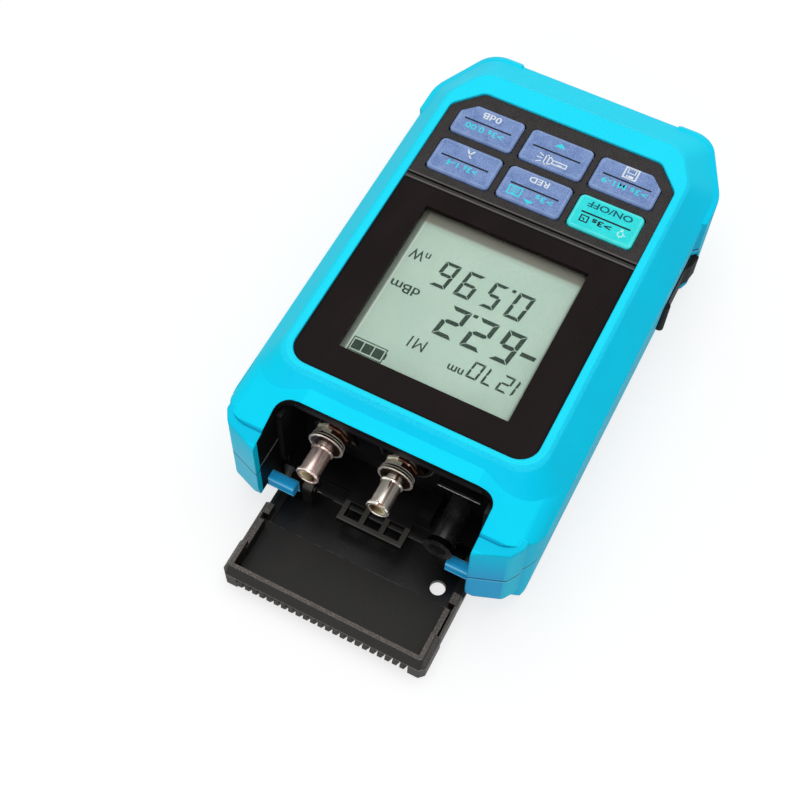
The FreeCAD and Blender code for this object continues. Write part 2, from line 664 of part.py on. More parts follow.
def upper_shell():
    top_half = common("upper_block", open_case, split("upper_half", "split_z", "crest_z + 5"))
    recess = panel_outline("panel_recess", "panel_front_y", "panel_far_y", "panel_seat_z", "crest_z + 2")
    cavity = prism("upper_cavity", "XY_Plane", both_sides([
        ("case_half_width - wall", "bay_rear_y + wall"),
        ("case_half_width - wall", "case_corner_y - 1"),
        ("case_far_half_width - wall", "case_far_y - wall"),
    ]), "split_z - 1", "flank_z - 1")
    attic = prism("upper_attic", "XY_Plane", both_sides([
        ("panel_half_width - 0.2", "bay_rear_y + wall"),
        ("panel_half_width - 0.2", "panel_far_y - panel_facet_y + 4"),
        ("panel_half_width - panel_facet_x", "panel_far_y + 3.5"),
    ]), "flank_z - 2", "deck_under_z")
    display_hole = box("deck_display_hole", "-deck_window_half_width", "deck_window_half_width",
                       "deck_window_front_y", "deck_window_far_y", "deck_under_z - 1", "panel_seat_z + 1")
    keypad_hole = box("deck_keypad_hole", "-(key_pitch_x + key_width / 2 + 1.1)",
                      "key_pitch_x + key_width / 2 + 1.1", "near_row_y - key_depth / 2 - 1.1",
                      "far_row_y + key_depth / 2 + 1.1", "deck_under_z - 1", "panel_seat_z + 1")
    hollow = cut("upper_hollow", top_half, recess, cavity, attic, display_hole, keypad_hole)
    posts = [
        box("upper_post_%d" % index, "(%s) - post_half" % across, "(%s) + post_half" % across,
            "(%s) - post_half" % along, "(%s) + post_half" % along, "split_z", "flank_z + 0.5")
        for index, (across, along) in enumerate(screw_places())
    ]
    return fuse("upper_shell", hollow, *posts)


node("upper_housing", upper_shell())


# ---------------------------------------------------------------------------
# Lower shell with the hinge lugs, tabs and socket pocket
# ---------------------------------------------------------------------------
def mirror_x(name, item):
    """A mirror image of an object across the middle plane."""
    image = doc.addObject("Part::Mirroring", name)
    image.Source = item
    image.Normal = (1, 0, 0)
    return image


def hinge_side():
    """One horn's tab and hinge lug, right-hand side."""
    tab = prism("tab", "YZ_Plane", [
        ("tab_front_y", "tab_low_z"),
        ("tab_rear_y", "tab_low_z"),
        ("tab_rear_y", "tab_top_z"),
        ("tab_front_y", "tab_top_z"),
    ], "tab_inner_x", "bay_half_width + 0.6", [
        ("tab_front_y", "tab_top_z", "0.8"),
        ("tab_rear_y", "tab_top_z", "0.8"),
        ("tab_front_y", "tab_low_z", "0.6"),
    ])
    round_end = rod("lug_round", "x", "lug_radius", "lug_inner_x", "lug_outer_x", "hinge_y", "hinge_z")
    root = box("lug_root", "lug_inner_x", "lug_outer_x", "hinge_y", "bay_floor_front_y + 0.5",
               "hinge_z - 1.6", "slab_low_z")
    bridge = box("lug_bridge", "lug_inner_x", "lug_outer_x", "tab_rear_y - 0.8", "hinge_y + 0.4",
                 "tab_low_z", "hinge_z + 1.9")
    bore = rod("lug_bore", "x", "pin_radius", "lug_inner_x - 1", "lug_outer_x + 1", "hinge_y", "hinge_z")
    return cut("hinge_side", fuse("hinge_side_solid", tab, round_end, root, bridge), bore)


def socket_cover_outline(name, gap, x_low, x_high):
    """Rounded strip seen from the side, with a gap all round."""
    near = "plug_near_y - (%s)" % gap
    far = "plug_far_y + (%s)" % gap
    low = "plug_low_z - (%s)" % gap
    top = "plug_top_z + (%s)" % gap
    return prism(name, "YZ_Plane", [(near, low), (far, low), (far, top), (near, top)], x_low, x_high, [
        (far, low, "2"),
        (far, top, "2"),
    ])


def lower_shell():
    low_half = common("lower_block", open_case, split("lower_half", "base_z - 2", "split_z"))
    cavity = prism("lower_cavity", "XY_Plane", both_sides([
        ("case_foot_half_width - wall - 1.2", "bay_floor_front_y + wall"),
        ("case_foot_half_width - wall - 1.2", "case_corner_y - 1"),
        ("case_far_half_width - wall - 0.8", "case_far_y - wall - 1"),
    ]), "wall", "slab_low_z")
    upper_cavity = prism("lower_cavity_top", "XY_Plane", both_sides([
        ("case_foot_half_width - wall", "bay_rear_y + wall"),
        ("case_foot_half_width - wall", "case_corner_y - 1"),
        ("case_far_half_width - wall", "case_far_y - wall - 0.6"),
    ]), "slab_low_z - 0.5", "split_z + 1")
    battery_hole = box("battery_hole", "-battery_half_width - 0.2", "battery_half_width + 0.2",
                       "battery_near_y - 0.2", "battery_far_y + 0.2", "base_z - 1",
                       "battery_cover_top_z + 1")
    pocket = socket_cover_outline("plug_pocket", "plug_gap", "plug_pocket_x", "case_half_width + 3")
    hole = box("socket_hole", "case_foot_half_width - wall - 2", "plug_pocket_x + 1",
               "socket_y - socket_half_width - 0.3", "socket_y + socket_half_width + 0.3",
               "socket_z - socket_half_height - 0.3", "socket_z + socket_half_height + 0.3")
    hollow = cut("lower_hollow", low_half, cavity, upper_cavity, battery_hole, pocket, hole)
    posts = []
    recesses = []
    for index, (across, along) in enumerate(screw_places()):
        posts.append(box("lower_post_%d" % index, "(%s) - post_half" % across, "(%s) + post_half" % across,
                         "(%s) - post_half" % along, "(%s) + post_half" % along, "wall / 2", "split_z"))
        recess = doc.addObject("Part::Prism", "screw_recess_%d" % index)
        recess.Polygon = 16
        recess.setExpression("Circumradius", link("screw_head_radius"))
        recess.setExpression("Height", link("screw_head_z - base_z + 1"))
        recesses.append(place_along(recess, "z", "base_z - 1", across, along))
    right = hinge_side()
    solid = fuse("lower_with_posts", hollow, right, mirror_x("hinge_side_left", right), *posts)
    return cut("lower_shell", solid, *recesses)


node("lower_housing", lower_shell())


# ---------------------------------------------------------------------------
# Port panel: black insert with rear wall, side walls, roof, floor and three-pocket shelf
# ---------------------------------------------------------------------------
def port_panel():
    outer = box("liner_outer", "-liner_half_width", "liner_half_width", "liner_front_y", "bay_rear_y - 0.1",
                "slab_low_z + 0.1", "liner_top_z")
    inner = box("liner_inner", "-(liner_half_width - liner_wall)", "liner_half_width - liner_wall",
                "liner_front_y - 1", "panel_face_y", "slab_top_z", "liner_top_z + 1")
    open_floor = box("liner_open_floor", "-30", "30", "liner_front_y - 1", "bay_floor_front_y + 0.1",
                     "slab_low_z - 1", "liner_low_z + 3.4")
    shell = cut("liner_shell", outer, inner, open_floor)
    apron_blocks = [
        box("liner_apron_middle", "-ear_inner_x + 0.4", "ear_inner_x - 0.4", "liner_apron_y",
            "bay_floor_front_y - 0.05", "liner_apron_z", "slab_top_z"),
        box("liner_apron_right", "lug_outer_x + 0.4", "liner_half_width", "liner_apron_y",
            "bay_floor_front_y - 0.05", "liner_apron_z", "slab_top_z"),
        box("liner_tie_right", "lug_outer_x + 0.4", "liner_half_width", "liner_apron_y",
            "bay_floor_front_y + 0.6", "slab_low_z + 0.1", "slab_top_z"),
        box("liner_apron_left", "-liner_half_width", "-lug_outer_x - 0.4", "liner_apron_y",
            "bay_floor_front_y - 0.05", "liner_apron_z", "slab_top_z"),
        box("liner_tie_left", "-liner_half_width", "-lug_outer_x - 0.4", "liner_apron_y",
            "bay_floor_front_y + 0.6", "slab_low_z + 0.1", "slab_top_z"),
    ]
    ledge = box("torch_ledge", "torch_x - 5.0", "torch_x + 4.3", "panel_face_y - 4.2", "panel_face_y",
                "torch_z + 6.4", "torch_z + 7.9")
    block = box("torch_block", "torch_x - 7.6", "torch_x - 4.6", "panel_face_y - 7.4", "panel_face_y",
                "slab_top_z - 0.5", "slab_top_z + 3.2")
    boss = doc.addObject("Part::Prism", "meter_boss")
    boss.Polygon = 16
    boss.setExpression("Circumradius", link("nut_flats / 2 + 2.2"))
    boss.setExpression("Height", link("1.3"))
    place_along(boss, "y", "panel_face_y - 1.3", "meter_x", "port_z")
    boss_hollow = doc.addObject("Part::Prism", "meter_boss_hollow")
    boss_hollow.Polygon = 16
    boss_hollow.setExpression("Circumradius", link("nut_flats / 2 + 1.2"))
    boss_hollow.setExpression("Height", link("2.3"))
    place_along(boss_hollow, "y", "panel_face_y - 2.3", "meter_x", "port_z")
    roof = box("liner_roof", "-bay_half_width + 3.2", "bay_half_width - 3.2", "notch_rear_y + 0.05",
               "bay_rear_y - 0.1", "panel_ceiling_z", "bay_roof_z - 0.1")
    back = box("liner_back", "-bay_half_width + 3.2", "bay_half_width - 3.2", "panel_face_y",
               "bay_rear_y - 0.1", "liner_top_z - 1", "bay_roof_z - 0.1")
    shelf = box("shelf", "-shelf_half_width", "shelf_half_width", "shelf_front_y",
                "bay_floor_front_y + 0.2", "slab_low_z + 0.1", "slab_top_z")
    shelf_low = box("shelf_low", "-shelf_half_width", "shelf_half_width", "shelf_front_y + 0.4",
                    "hinge_y - 1", "shelf_low_z", "slab_low_z + 0.2")
    pockets = []
    pocket_width = "(2 * shelf_half_width - 4 * shelf_wall) / 3"
    for index in range(3):
        left = "-shelf_half_width + shelf_wall + %d * ((%s) + shelf_wall)" % (index, pocket_width)
        pockets.append(box("pocket_%d" % index, left, "(%s) + %s" % (left, pocket_width),
                           "shelf_front_y + shelf_wall", "shelf_rear_y", "shelf_low_z - 1", "slab_top_z + 1"))
    body = fuse("port_panel_solid", shell, roof, back, shelf, shelf_low, *apron_blocks, ledge, block,
                cut("meter_boss_ring", boss, boss_hollow))
    holes = pockets
    for name, across in (("laser", "laser_x"), ("meter", "meter_x")):
        holes.append(rod("stem_hole_" + name, "y", "adapter_thread_radius + 0.1", "panel_face_y - 1",
                         "bay_rear_y + 1", across, "port_z"))
    return cut("port_panel", body, *holes)


node("port_panel", port_panel())


# ---------------------------------------------------------------------------
# Panel parts: display frame, clear pane, liquid crystal cell and its holder, keypad plate
# ---------------------------------------------------------------------------
def display_frame():
    plate = panel_outline("display_plate", "panel_front_y + panel_gap", "frame_far_y",
                          "panel_top_z - panel_thickness", "panel_top_z", "panel_gap", far_facets=False)
    window = box("display_opening", "-window_half_width", "window_half_width", "window_front_y",
                 "window_far_y", "panel_seat_z - 1", "panel_top_z + 1")
    return cut("display_frame", plate, window)


node("display_frame", display_frame())

node("display_pane", box("display_pane", "-deck_window_half_width + 0.2", "deck_window_half_width - 0.2",
                         "deck_window_front_y + 0.2", "deck_window_far_y - 0.2",
                         "panel_seat_z - pane_thickness", "panel_seat_z"))

node("lcd_cell", box("lcd_cell", "-deck_window_half_width + holder_wall + 0.2",
                     "deck_window_half_width - holder_wall - 0.2",
                     "deck_window_front_y + holder_wall + 0.2",
                     "deck_window_far_y - holder_wall - 0.2",
                     "glass_top_z - glass_thickness", "glass_top_z"))


def lcd_holder():
    outer = box("holder_outer", "-deck_window_half_width + 0.2", "deck_window_half_width - 0.2",
                "deck_window_front_y + 0.2", "deck_window_far_y - 0.2", "holder_low_z", "glass_top_z")
    inner = box("holder_inner", "-deck_window_half_width + holder_wall + 0.15",
                "deck_window_half_width - holder_wall - 0.15",
                "deck_window_front_y + holder_wall + 0.15", "deck_window_far_y - holder_wall - 0.15",
                "glass_top_z - glass_thickness - 0.05", "glass_top_z + 1")
    return cut("lcd_holder", outer, inner)


node("lcd_holder", lcd_holder())


def key_outline(across, along, grow, facet_side):
    """A key's outline: a rounded rectangle, with one far corner cut on the outer far keys."""
    half_x = "key_width / 2 + (%s)" % grow
    half_y = "key_depth / 2 + (%s)" % grow
    left = "(%s) - (%s)" % (across, half_x)
    right = "(%s) + (%s)" % (across, half_x)
    near = "(%s) - (%s)" % (along, half_y)
    far = "(%s) + (%s)" % (along, half_y)
    radius = "key_corner + (%s)" % grow
    corners = [(left, near, radius), (right, near, radius)]
    if facet_side > 0:
        corners += [(right, "%s - key_facet" % far, "0.8"), ("%s - key_facet" % right, far, "0.8")]
    else:
        corners.append((right, far, radius))
    if facet_side < 0:
        corners += [("%s + key_facet" % left, far, "0.8"), (left, "%s - key_facet" % far, "0.8")]
    else:
        corners.append((left, far, radius))
    return corners


KEYS = [
    ("key_reference", "-key_pitch_x", "far_row_y", -1),
    ("key_torch", "0", "far_row_y", 0),
    ("key_save", "key_pitch_x", "far_row_y", 1),
    ("key_wavelength", "-key_pitch_x", "near_row_y", 0),
    ("key_laser", "0", "near_row_y", 0),
    ("key_power", "key_pitch_x", "near_row_y", 0),
]


def key_hole(name, across, along, facet_side):
    """The plate's opening for a key, with small facets in its corners."""
    half_x = "(key_width / 2 + key_gap)"
    half_y = "(key_depth / 2 + key_gap)"
    corners = []
    for sign_x, sign_y in ((-1, -1), (1, -1), (1, 1), (-1, 1)):
        facet = "(key_facet + 0.2)" if sign_y > 0 and sign_x == facet_side else "0.5 * key_corner"
        x_tip = "(%s) + (%d) * %s" % (across, sign_x, half_x)
        y_tip = "(%s) + (%d) * %s" % (along, sign_y, half_y)
        on_side = (x_tip, "%s - (%d) * %s" % (y_tip, sign_y, facet))
        on_end = ("%s - (%d) * %s" % (x_tip, sign_x, facet), y_tip)
        corners += [on_side, on_end] if sign_x == sign_y else [on_end, on_side]
    return prism(name, "XY_Plane", corners, "panel_seat_z - 1", "panel_top_z + 1")


def keypad_plate():
    plate = panel_outline("keypad_outline", "keypad_near_y", "panel_far_y - panel_gap",
                          "panel_top_z - panel_thickness", "panel_top_z", "panel_gap", near_rounds=False)
    groove = box("keypad_groove", "-panel_half_width", "panel_half_width", "keypad_groove_y",
                 "keypad_groove_y + keypad_groove_width", "panel_top_z - keypad_groove_depth",
                 "panel_top_z + 1")
    holes = [key_hole(name + "_hole", across, along, side) for name, across, along, side in KEYS]
    return cut("keypad_plate", plate, groove, *holes)


node("keypad_plate", keypad_plate())


def key(name, across, along, side):
    """A key cap with a soft edge, on a flange that the keypad plate holds down."""
    outline = key_outline(across, along, "0", side)
    cap = stacked_loft(name + "_cap", [
        (outline, "key_flange_low_z"),
        (outline, "key_top_z - key_dish"),
        (key_outline(across, along, "-key_dish", side), "key_top_z"),
    ])
    flange = box(name + "_flange", "(%s) - key_width / 2 - key_flange_proud" % across,
                 "(%s) + key_width / 2 + key_flange_proud" % across,
                 "(%s) - key_depth / 2 - key_flange_proud" % along,
                 "(%s) + key_depth / 2 + key_flange_proud" % along,
                 "key_flange_low_z", "key_flange_top_z")
    return fuse(name, cap, flange)


for key_name, key_across, key_along, key_side in KEYS:
    node(key_name, key(key_name, key_across, key_along, key_side))


def key_mat():
    """Rubber sheet with one plunger under each key."""
    mat_sheet = box("mat_sheet", "-(key_pitch_x + key_width / 2 + 1.0)", "key_pitch_x + key_width / 2 + 1.0",
                    "near_row_y - key_depth / 2 - 1.0", "far_row_y + key_depth / 2 + 1.0",
                    "mat_top_z - mat_thickness", "mat_top_z")
    plungers = [
        box(name + "_plunger", "(%s) - plunger_half" % across, "(%s) + plunger_half" % across,
            "(%s) - plunger_half" % along, "(%s) + plunger_half" % along,
            "board_top_z + switch_height + 0.2", "plunger_top_z")
        for name, across, along, side in KEYS
    ]
    return fuse("key_mat", mat_sheet, *plungers)


node("key_mat", key_mat())


# ---------------------------------------------------------------------------
# Electronics
# ---------------------------------------------------------------------------
node("main_board", box("main_board", "-board_half_width", "board_half_width", "board_near_y", "board_far_y",
                       "board_top_z - board_thickness", "board_top_z"))


def key_switches():
    """Six snap switches soldered on the board, as separate solids of one group."""
    switches = doc.addObject("Part::Compound", "key_switches")
    switches.Links = [
        box(name + "_switch", "(%s) - switch_half" % across, "(%s) + switch_half" % across,
            "(%s) - switch_half" % along, "(%s) + switch_half" % along,
            "board_top_z", "board_top_z + switch_height")
        for name, across, along, side in KEYS
    ]
    return switches


node("key_switches", key_switches())


def turned(name, points, across, height):
    """A body of revolution about a line along Y: points are (radius, y)."""
    body = doc.addObject("PartDesign::Body", name)
    profile = sketch_polygon(body, "XY_Plane", points, "base_z")
    spin = body.newObject("PartDesign::Revolution", name + "_turned")
    spin.Profile = profile
    spin.ReferenceAxis = (profile, ["V_Axis"])
    spin.Angle = 360
    body.setExpression("Placement.Base.x", link(across))
    body.setExpression("Placement.Base.z", link(height))
    return body


def adapter(name, across):
    """Turned sleeve that guides a ferrule: lipped tube, threaded stem and blind bore."""
    return turned(name, [
        ("ferrule_radius", "adapter_tip_y"),
        ("adapter_lip_radius", "adapter_tip_y"),
        ("adapter_lip_radius", "adapter_tip_y + adapter_lip_length"),
        ("adapter_tube_radius", "adapter_tip_y + adapter_lip_length"),
        ("adapter_tube_radius", "adapter_stem_y"),
        ("adapter_thread_radius", "adapter_stem_y"),
        ("adapter_thread_radius", "adapter_stem_end_y"),
        ("0", "adapter_stem_end_y"),
        ("0", "adapter_tip_y + ferrule_depth"),
        ("ferrule_radius", "adapter_tip_y + ferrule_depth"),
    ], across, "port_z")


def adapter_nut(name, across):
    """Hexagon nut that clamps an adapter to the port panel from the front."""
    blank = doc.addObject("Part::Prism", name + "_blank")
    blank.Polygon = 6
    blank.setExpression("Circumradius", link("nut_flats / sqrt(3)"))
    blank.setExpression("Height", link("nut_length"))
    place_along(blank, "y", "panel_face_y - nut_length", across, "port_z")
    hole = rod(name + "_hole", "y", "adapter_thread_radius", "panel_face_y - nut_length - 1",
               "panel_face_y + 1", across, "port_z")
    return cut(name, blank, hole)


for port, across in (("laser", "laser_x"), ("meter", "meter_x")):
    node(port + "_adapter", adapter(port + "_adapter", across))
    node(port + "_adapter_nut", adapter_nut(port + "_adapter_nut", across))

node("laser_module", box("laser_module", "laser_x - 3.1", "laser_x + 3.1", "adapter_stem_end_y", "-22",
                         "port_z - 3.1", "port_z + 3.1"))

node("photodiode", box("photodiode", "meter_x - 2.7", "meter_x + 2.7", "adapter_stem_end_y", "-32.9",
                       "port_z - 2.7", "port_z + 2.7"))

node("torch_barrel", turned("torch_barrel", [
    ("led_radius + 0.1", "torch_tip_y"),
    ("torch_rim_radius", "torch_tip_y"),
    ("torch_radius", "torch_tip_y + 1.8"),
    ("torch_radius", "panel_face_y"),
    ("led_radius + 0.1", "panel_face_y"),
], "torch_x", "torch_z"))

node("torch_lamp", turned("torch_lamp", [
    ("0", "torch_tip_y + 2.6"),
    ("led_radius", "torch_tip_y + 2.6"),
    ("led_radius", "panel_face_y"),
    ("0", "panel_face_y"),
], "torch_x", "torch_z"))

node("port_panel_screw", turned("port_panel_screw", [
    ("0", "panel_face_y - 0.7"),
    ("1.35", "panel_face_y - 0.7"),
    ("1.35", "panel_face_y"),
    ("0", "panel_face_y"),
], "laser_x + 2.9", "port_z - 5.8"))


# ---------------------------------------------------------------------------
# Battery bay: cover, cells, charging board and socket
# ---------------------------------------------------------------------------
def battery_cover():
    """Flush cover in the back, with finger grooves at its far end."""
    plate = box("battery_plate", "-battery_half_width", "battery_half_width", "battery_near_y",
                "battery_far_y", "battery_cover_low_z", "battery_cover_top_z")
    ridges = [
        box("battery_ridge_%d" % index, "-7", "7", "battery_far_y - 4 - 1.6 * %d" % index,
            "battery_far_y - 3.2 - 1.6 * %d" % index, "base_z - 1", "battery_cover_low_z + 0.5")
        for index in range(5)
    ]
    return cut("battery_cover", plate, *ridges)


node("battery_cover", battery_cover())


def battery_cells():
    """Two flat cells side by side, as separate solids of one group."""
    cells = doc.addObject("Part::Compound", "battery_cells")
    cells.Links = [
        box("cell_%s" % side, "%s - cell_width / 2" % middle, "%s + cell_width / 2" % middle,
            "cell_centre_y - cell_length / 2", "cell_centre_y + cell_length / 2", "cell_low_z", "cell_top_z")
        for side, middle in (("left", "-cell_pitch / 2"), ("right", "cell_pitch / 2"))
    ]
    return cells


node("battery_cells", battery_cells())


def battery_cradle():
    """Open tray that holds the two cells above the battery cover."""
    outer = box("cradle_outer", "-cell_pitch - 1.2", "cell_pitch + 1.2",
                "cell_centre_y - cell_length / 2 - 2.4", "cell_centre_y + cell_length / 2 + 2.4",
                "cell_low_z + 2", "cell_top_z + 1.4")
    hollow = box("cradle_hollow", "-cell_pitch", "cell_pitch",
                 "cell_centre_y - cell_length / 2 - 1.2", "cell_centre_y + cell_length / 2 + 1.2",
                 "cell_low_z + 1", "cell_top_z + 0.2")
    return cut("battery_cradle", outer, hollow)


node("battery_cradle", battery_cradle())

node("charge_board", box("charge_board", "plug_pocket_x - socket_depth - 3",
                         "case_foot_half_width - wall - 1.4", "socket_y - 8", "socket_y + 8",
                         "socket_z - socket_half_height - 1.3", "socket_z - socket_half_height"))


def usb_socket():
    """Charging socket: a metal shell with a tongue inside, mouth to the side."""
    shell = prism("socket_shell", "YZ_Plane", [
        ("socket_y - socket_half_width + 1.1", "socket_z - socket_half_height"),
        ("socket_y + socket_half_width - 1.1", "socket_z - socket_half_height"),
        ("socket_y + socket_half_width", "socket_z - socket_half_height + 1.3"),
        ("socket_y + socket_half_width", "socket_z + socket_half_height"),
        ("socket_y - socket_half_width", "socket_z + socket_half_height"),
        ("socket_y - socket_half_width", "socket_z - socket_half_height + 1.3"),
    ], "plug_pocket_x - socket_depth", "plug_pocket_x")
    mouth = box("socket_mouth", "plug_pocket_x - socket_depth + 1.5", "plug_pocket_x + 1",
                "socket_y - socket_half_width + 1.3", "socket_y + socket_half_width - 1.3",
                "socket_z - socket_half_height + 0.4", "socket_z + socket_half_height - 0.4")
    tongue = box("socket_tongue", "plug_pocket_x - socket_depth + 1", "plug_pocket_x - 0.8",
                 "socket_y - 2.4", "socket_y + 2.4", "socket_z - 0.35", "socket_z + 0.35")
    return fuse("usb_socket", cut("socket_open_shell", shell, mouth), tongue)


node("usb_socket", usb_socket())


def usb_plug_cover():
    """Rubber flap over the charging socket: strip, finger grip, shallow plug and round end."""
    strip = socket_cover_outline("plug_strip", "0", "plug_pocket_x + 0.3", "plug_face_x")
    strip_front = cut("plug_strip_front", strip, box(
        "plug_strip_trim", "plug_pocket_x - 1", "plug_face_x + 1", "plug_near_y - 1",
        "plug_near_y + 1.4", "plug_low_z - 1", "plug_top_z + 1"))
    knuckle = rod("plug_knuckle", "z", "plug_knuckle_radius - 0.1", "plug_low_z", "plug_top_z",
                  "plug_pocket_x + plug_knuckle_radius + 0.2", "plug_near_y + plug_knuckle_radius + 0.3")
    grip = prism("plug_grip", "XY_Plane", [
        ("plug_face_x - 0.3", "plug_far_y - plug_grip_length - 0.6"),
        ("plug_face_x", "plug_far_y - plug_grip_length - 0.6"),
        ("plug_grip_x - 0.5", "plug_far_y - plug_grip_length + 1.2"),
        ("plug_grip_x", "plug_far_y - 1.4"),
        ("plug_face_x", "plug_far_y - 0.9"),
        ("plug_face_x - 0.3", "plug_far_y - 0.9"),
    ], "plug_low_z + 1.1", "plug_top_z - 1.1")
    plug = box("plug_boss", "plug_pocket_x - 0.5", "plug_pocket_x + 0.5", "socket_y - 2.4", "socket_y + 2.4",
               "socket_z - 0.8", "socket_z + 0.8")
    return fuse("usb_plug_cover", strip_front, knuckle, grip, plug)


node("usb_plug_cover", usb_plug_cover())


# ---------------------------------------------------------------------------
# Dust cover, lying open in front of the port bay
# ---------------------------------------------------------------------------
def cover_tip_outline(inset):
    return mirrored_corners([
        ("cover_tip_half_width - cover_corner - 0.4 * (%s)" % inset, "cover_tip_y + (%s)" % inset, "0.4"),
        ("cover_tip_half_width - (%s)" % inset, "cover_tip_y + cover_corner + 0.4 * (%s)" % inset, "0.4"),
        ("cover_tip_half_width - (%s)" % inset, "cover_step_y", "0"),
    ])


def cover_tray():
    plate = box("cover_plate", "-cover_half_width", "cover_half_width", "cover_tip_y + 1", "cover_rear_y",
                "cover_low_z", "cover_floor_z")
    tip = stacked_loft("cover_tip", [
        (cover_tip_outline("0"), "cover_low_z"),
        (cover_tip_outline("0"), "cover_ledge_z"),
        (cover_tip_outline("cover_tip_half_width - cover_rim_half_width"), "cover_rim_z"),
    ])
    blocks = box("cover_blocks", "-cover_half_width + 0.9", "cover_half_width - 0.9", "cover_step_y - 1",
                 "cover_block_end_y", "cover_floor_z", "cover_block_z")
    lumps = box("cover_lumps", "-cover_half_width + 0.5", "cover_half_width - 0.5", "cover_lump_near_y",
                "cover_wall_end_y", "cover_floor_z - 0.5", "cover_wall_z + 0.4")
    walls = box("cover_walls", "-cover_half_width", "cover_half_width", "cover_step_y - 1",
                "cover_wall_end_y", "cover_low_z", "cover_wall_z")
    solid = fuse("cover_solid", plate, tip, walls)
    rim_inner = "cover_rim_half_width - cover_rim_wall"
    hollow_tip = box("cover_hollow_tip", "-(%s)" % rim_inner, rim_inner,
                     "cover_tip_y + cover_tip_half_width - cover_rim_half_width + cover_rim_wall",
                     "cover_step_y + 1", "cover_floor_z", "cover_rim_z + 1")
    hollow_walls = box("cover_hollow_walls", "-cover_half_width + 0.6", "cover_half_width - 0.6",
                       "cover_step_y", "cover_wall_end_y + 1", "cover_floor_z", "cover_rim_z + 1")
    open_tray = cut("cover_open_tray", solid, hollow_tip, hollow_walls)
    thick = cut("cover_thick_parts", fuse("cover_thick_solid", blocks, lumps),
                box("cover_between", "-cover_block_inner_x", "cover_block_inner_x", "cover_step_y - 2",
                    "cover_wall_end_y + 1", "cover_low_z", "cover_rim_z"))
    floor_step = box("cover_floor_step", "-cover_half_width + 2.6", "cover_half_width - 2.6",
                     "cover_lump_near_y - 0.3", "cover_rear_y + 1", "cover_floor_z - 0.35",
                     "cover_floor_z + 1")
    rake = prism("grip_rake", "YZ_Plane", [
        ("cover_tip_y - 1", "cover_low_z - 1"),
        ("grip_rear_y + 0.4", "cover_low_z - 1"),
        ("cover_tip_y", "grip_top_z"),
        ("cover_tip_y - 1", "grip_top_z"),
    ], "-grip_half_width", "grip_half_width")
    corners = [
        box("cover_corner_right", "cover_corner_x", "cover_half_width + 1", "cover_corner_end_y",
            "cover_rear_y + 1", "cover_low_z - 1", "cover_wall_z + 1"),
        box("cover_corner_left", "-cover_half_width - 1", "-cover_corner_x", "cover_corner_end_y",
            "cover_rear_y + 1", "cover_low_z - 1", "cover_wall_z + 1"),
    ]
    drain = rod("cover_drain", "z", "drain_radius", "cover_low_z - 1", "cover_floor_z + 1",
                "drain_x", "drain_y")
    tray = fuse("cover_tray_solid", open_tray, thick)
    return cut("cover_tray", tray, floor_step, rake, drain, *corners)


def grip_rib(index):
    """One rounded fin on the raked edge of the tip."""
    middle = "(%d - (rib_count - 1) / 2) * rib_pitch" % index
    return prism("grip_rib_%d" % index, "YZ_Plane", [
        ("cover_tip_y + 0.2", "grip_top_z + 0.1"),
        ("rib_front_y + 0.15", "grip_top_z - 0.5"),
        ("rib_front_y", "grip_top_z - 1.6"),
        ("rib_front_y + 1.6", "cover_low_z"),
        ("grip_rear_y + 1.3", "cover_low_z + 0.2"),
        ("cover_tip_y + 1.2", "grip_top_z"),
    ], middle + " - rib_width / 2", middle + " + rib_width / 2")


def cover_ear():
    """Right-hand hinge ear: an arm from the plate up to the pin, with a running bore."""
    arm = box("ear_arm", "ear_inner_x", "ear_outer_x", "hinge_y - ear_radius", "hinge_y + ear_radius - 0.6",
              "cover_low_z", "hinge_z")
    round_end = rod("ear_round", "x", "ear_radius", "ear_inner_x", "ear_outer_x", "hinge_y", "hinge_z")
    return fuse("cover_ear", arm, round_end)


def dust_cover():
    ear = cover_ear()
    ribs = [grip_rib(index) for index in range(int(value("rib_count")))]
    solid = fuse("dust_cover_solid", cover_tray(), ear, mirror_x("cover_ear_left", ear), *ribs)
    bores = rod("ear_bores", "x", "pin_radius + pin_clearance", "-ear_outer_x - 1", "ear_outer_x + 1",
                "hinge_y", "hinge_z")
    return cut("dust_cover", solid, bores)


node("dust_cover", dust_cover())


def hinge_pins():
    """Two short steel pins, pressed in the case's lugs, as separate solids of one group."""
    pins = doc.addObject("Part::Compound", "cover_hinge_pins")
    pins.Links = [
        rod("pin_right", "x", "pin_radius", "ear_inner_x - 0.4", "lug_outer_x", "hinge_y", "hinge_z"),
        rod("pin_left", "x", "pin_radius", "-lug_outer_x", "-ear_inner_x + 0.4", "hinge_y", "hinge_z"),
    ]
    return pins


node("cover_hinge_pins", hinge_pins())


# ---------------------------------------------------------------------------
# Checks and export
# ---------------------------------------------------------------------------
doc.recompute()
for item in doc.Objects:
    if "Invalid" in item.State or "Error" in item.State:
        raise RuntimeError("%s did not recompute: %s" % (item.Name, item.State))
os.makedirs("parts", exist_ok=True)
for item in NODES:
    shape = item.Shape
    if shape.isNull() or not shape.isValid() or not shape.Solids:
        raise RuntimeError("%s has no valid shape" % item.Label)
    shape.exportStep(os.path.join("parts", item.Label + ".step"))
    extent = shape.BoundBox
    print("%-20s solids %2d volume %9.1f  x %7.2f %7.2f  y %7.2f %7.2f  z %6.2f %6.2f" % (
        item.Label, len(shape.Solids), shape.Volume, extent.XMin, extent.XMax,
        extent.YMin, extent.YMax, extent.ZMin, extent.ZMax))
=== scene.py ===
# %% [markdown]
# # A hand-held optical power meter
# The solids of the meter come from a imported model, already in place and in metres.
# This lesson dresses them: it adds the camera, the light, the finishes and the small things that
# are printed, turned or screwed on. Nothing that came with the model is moved.

# %% Load the model
import math

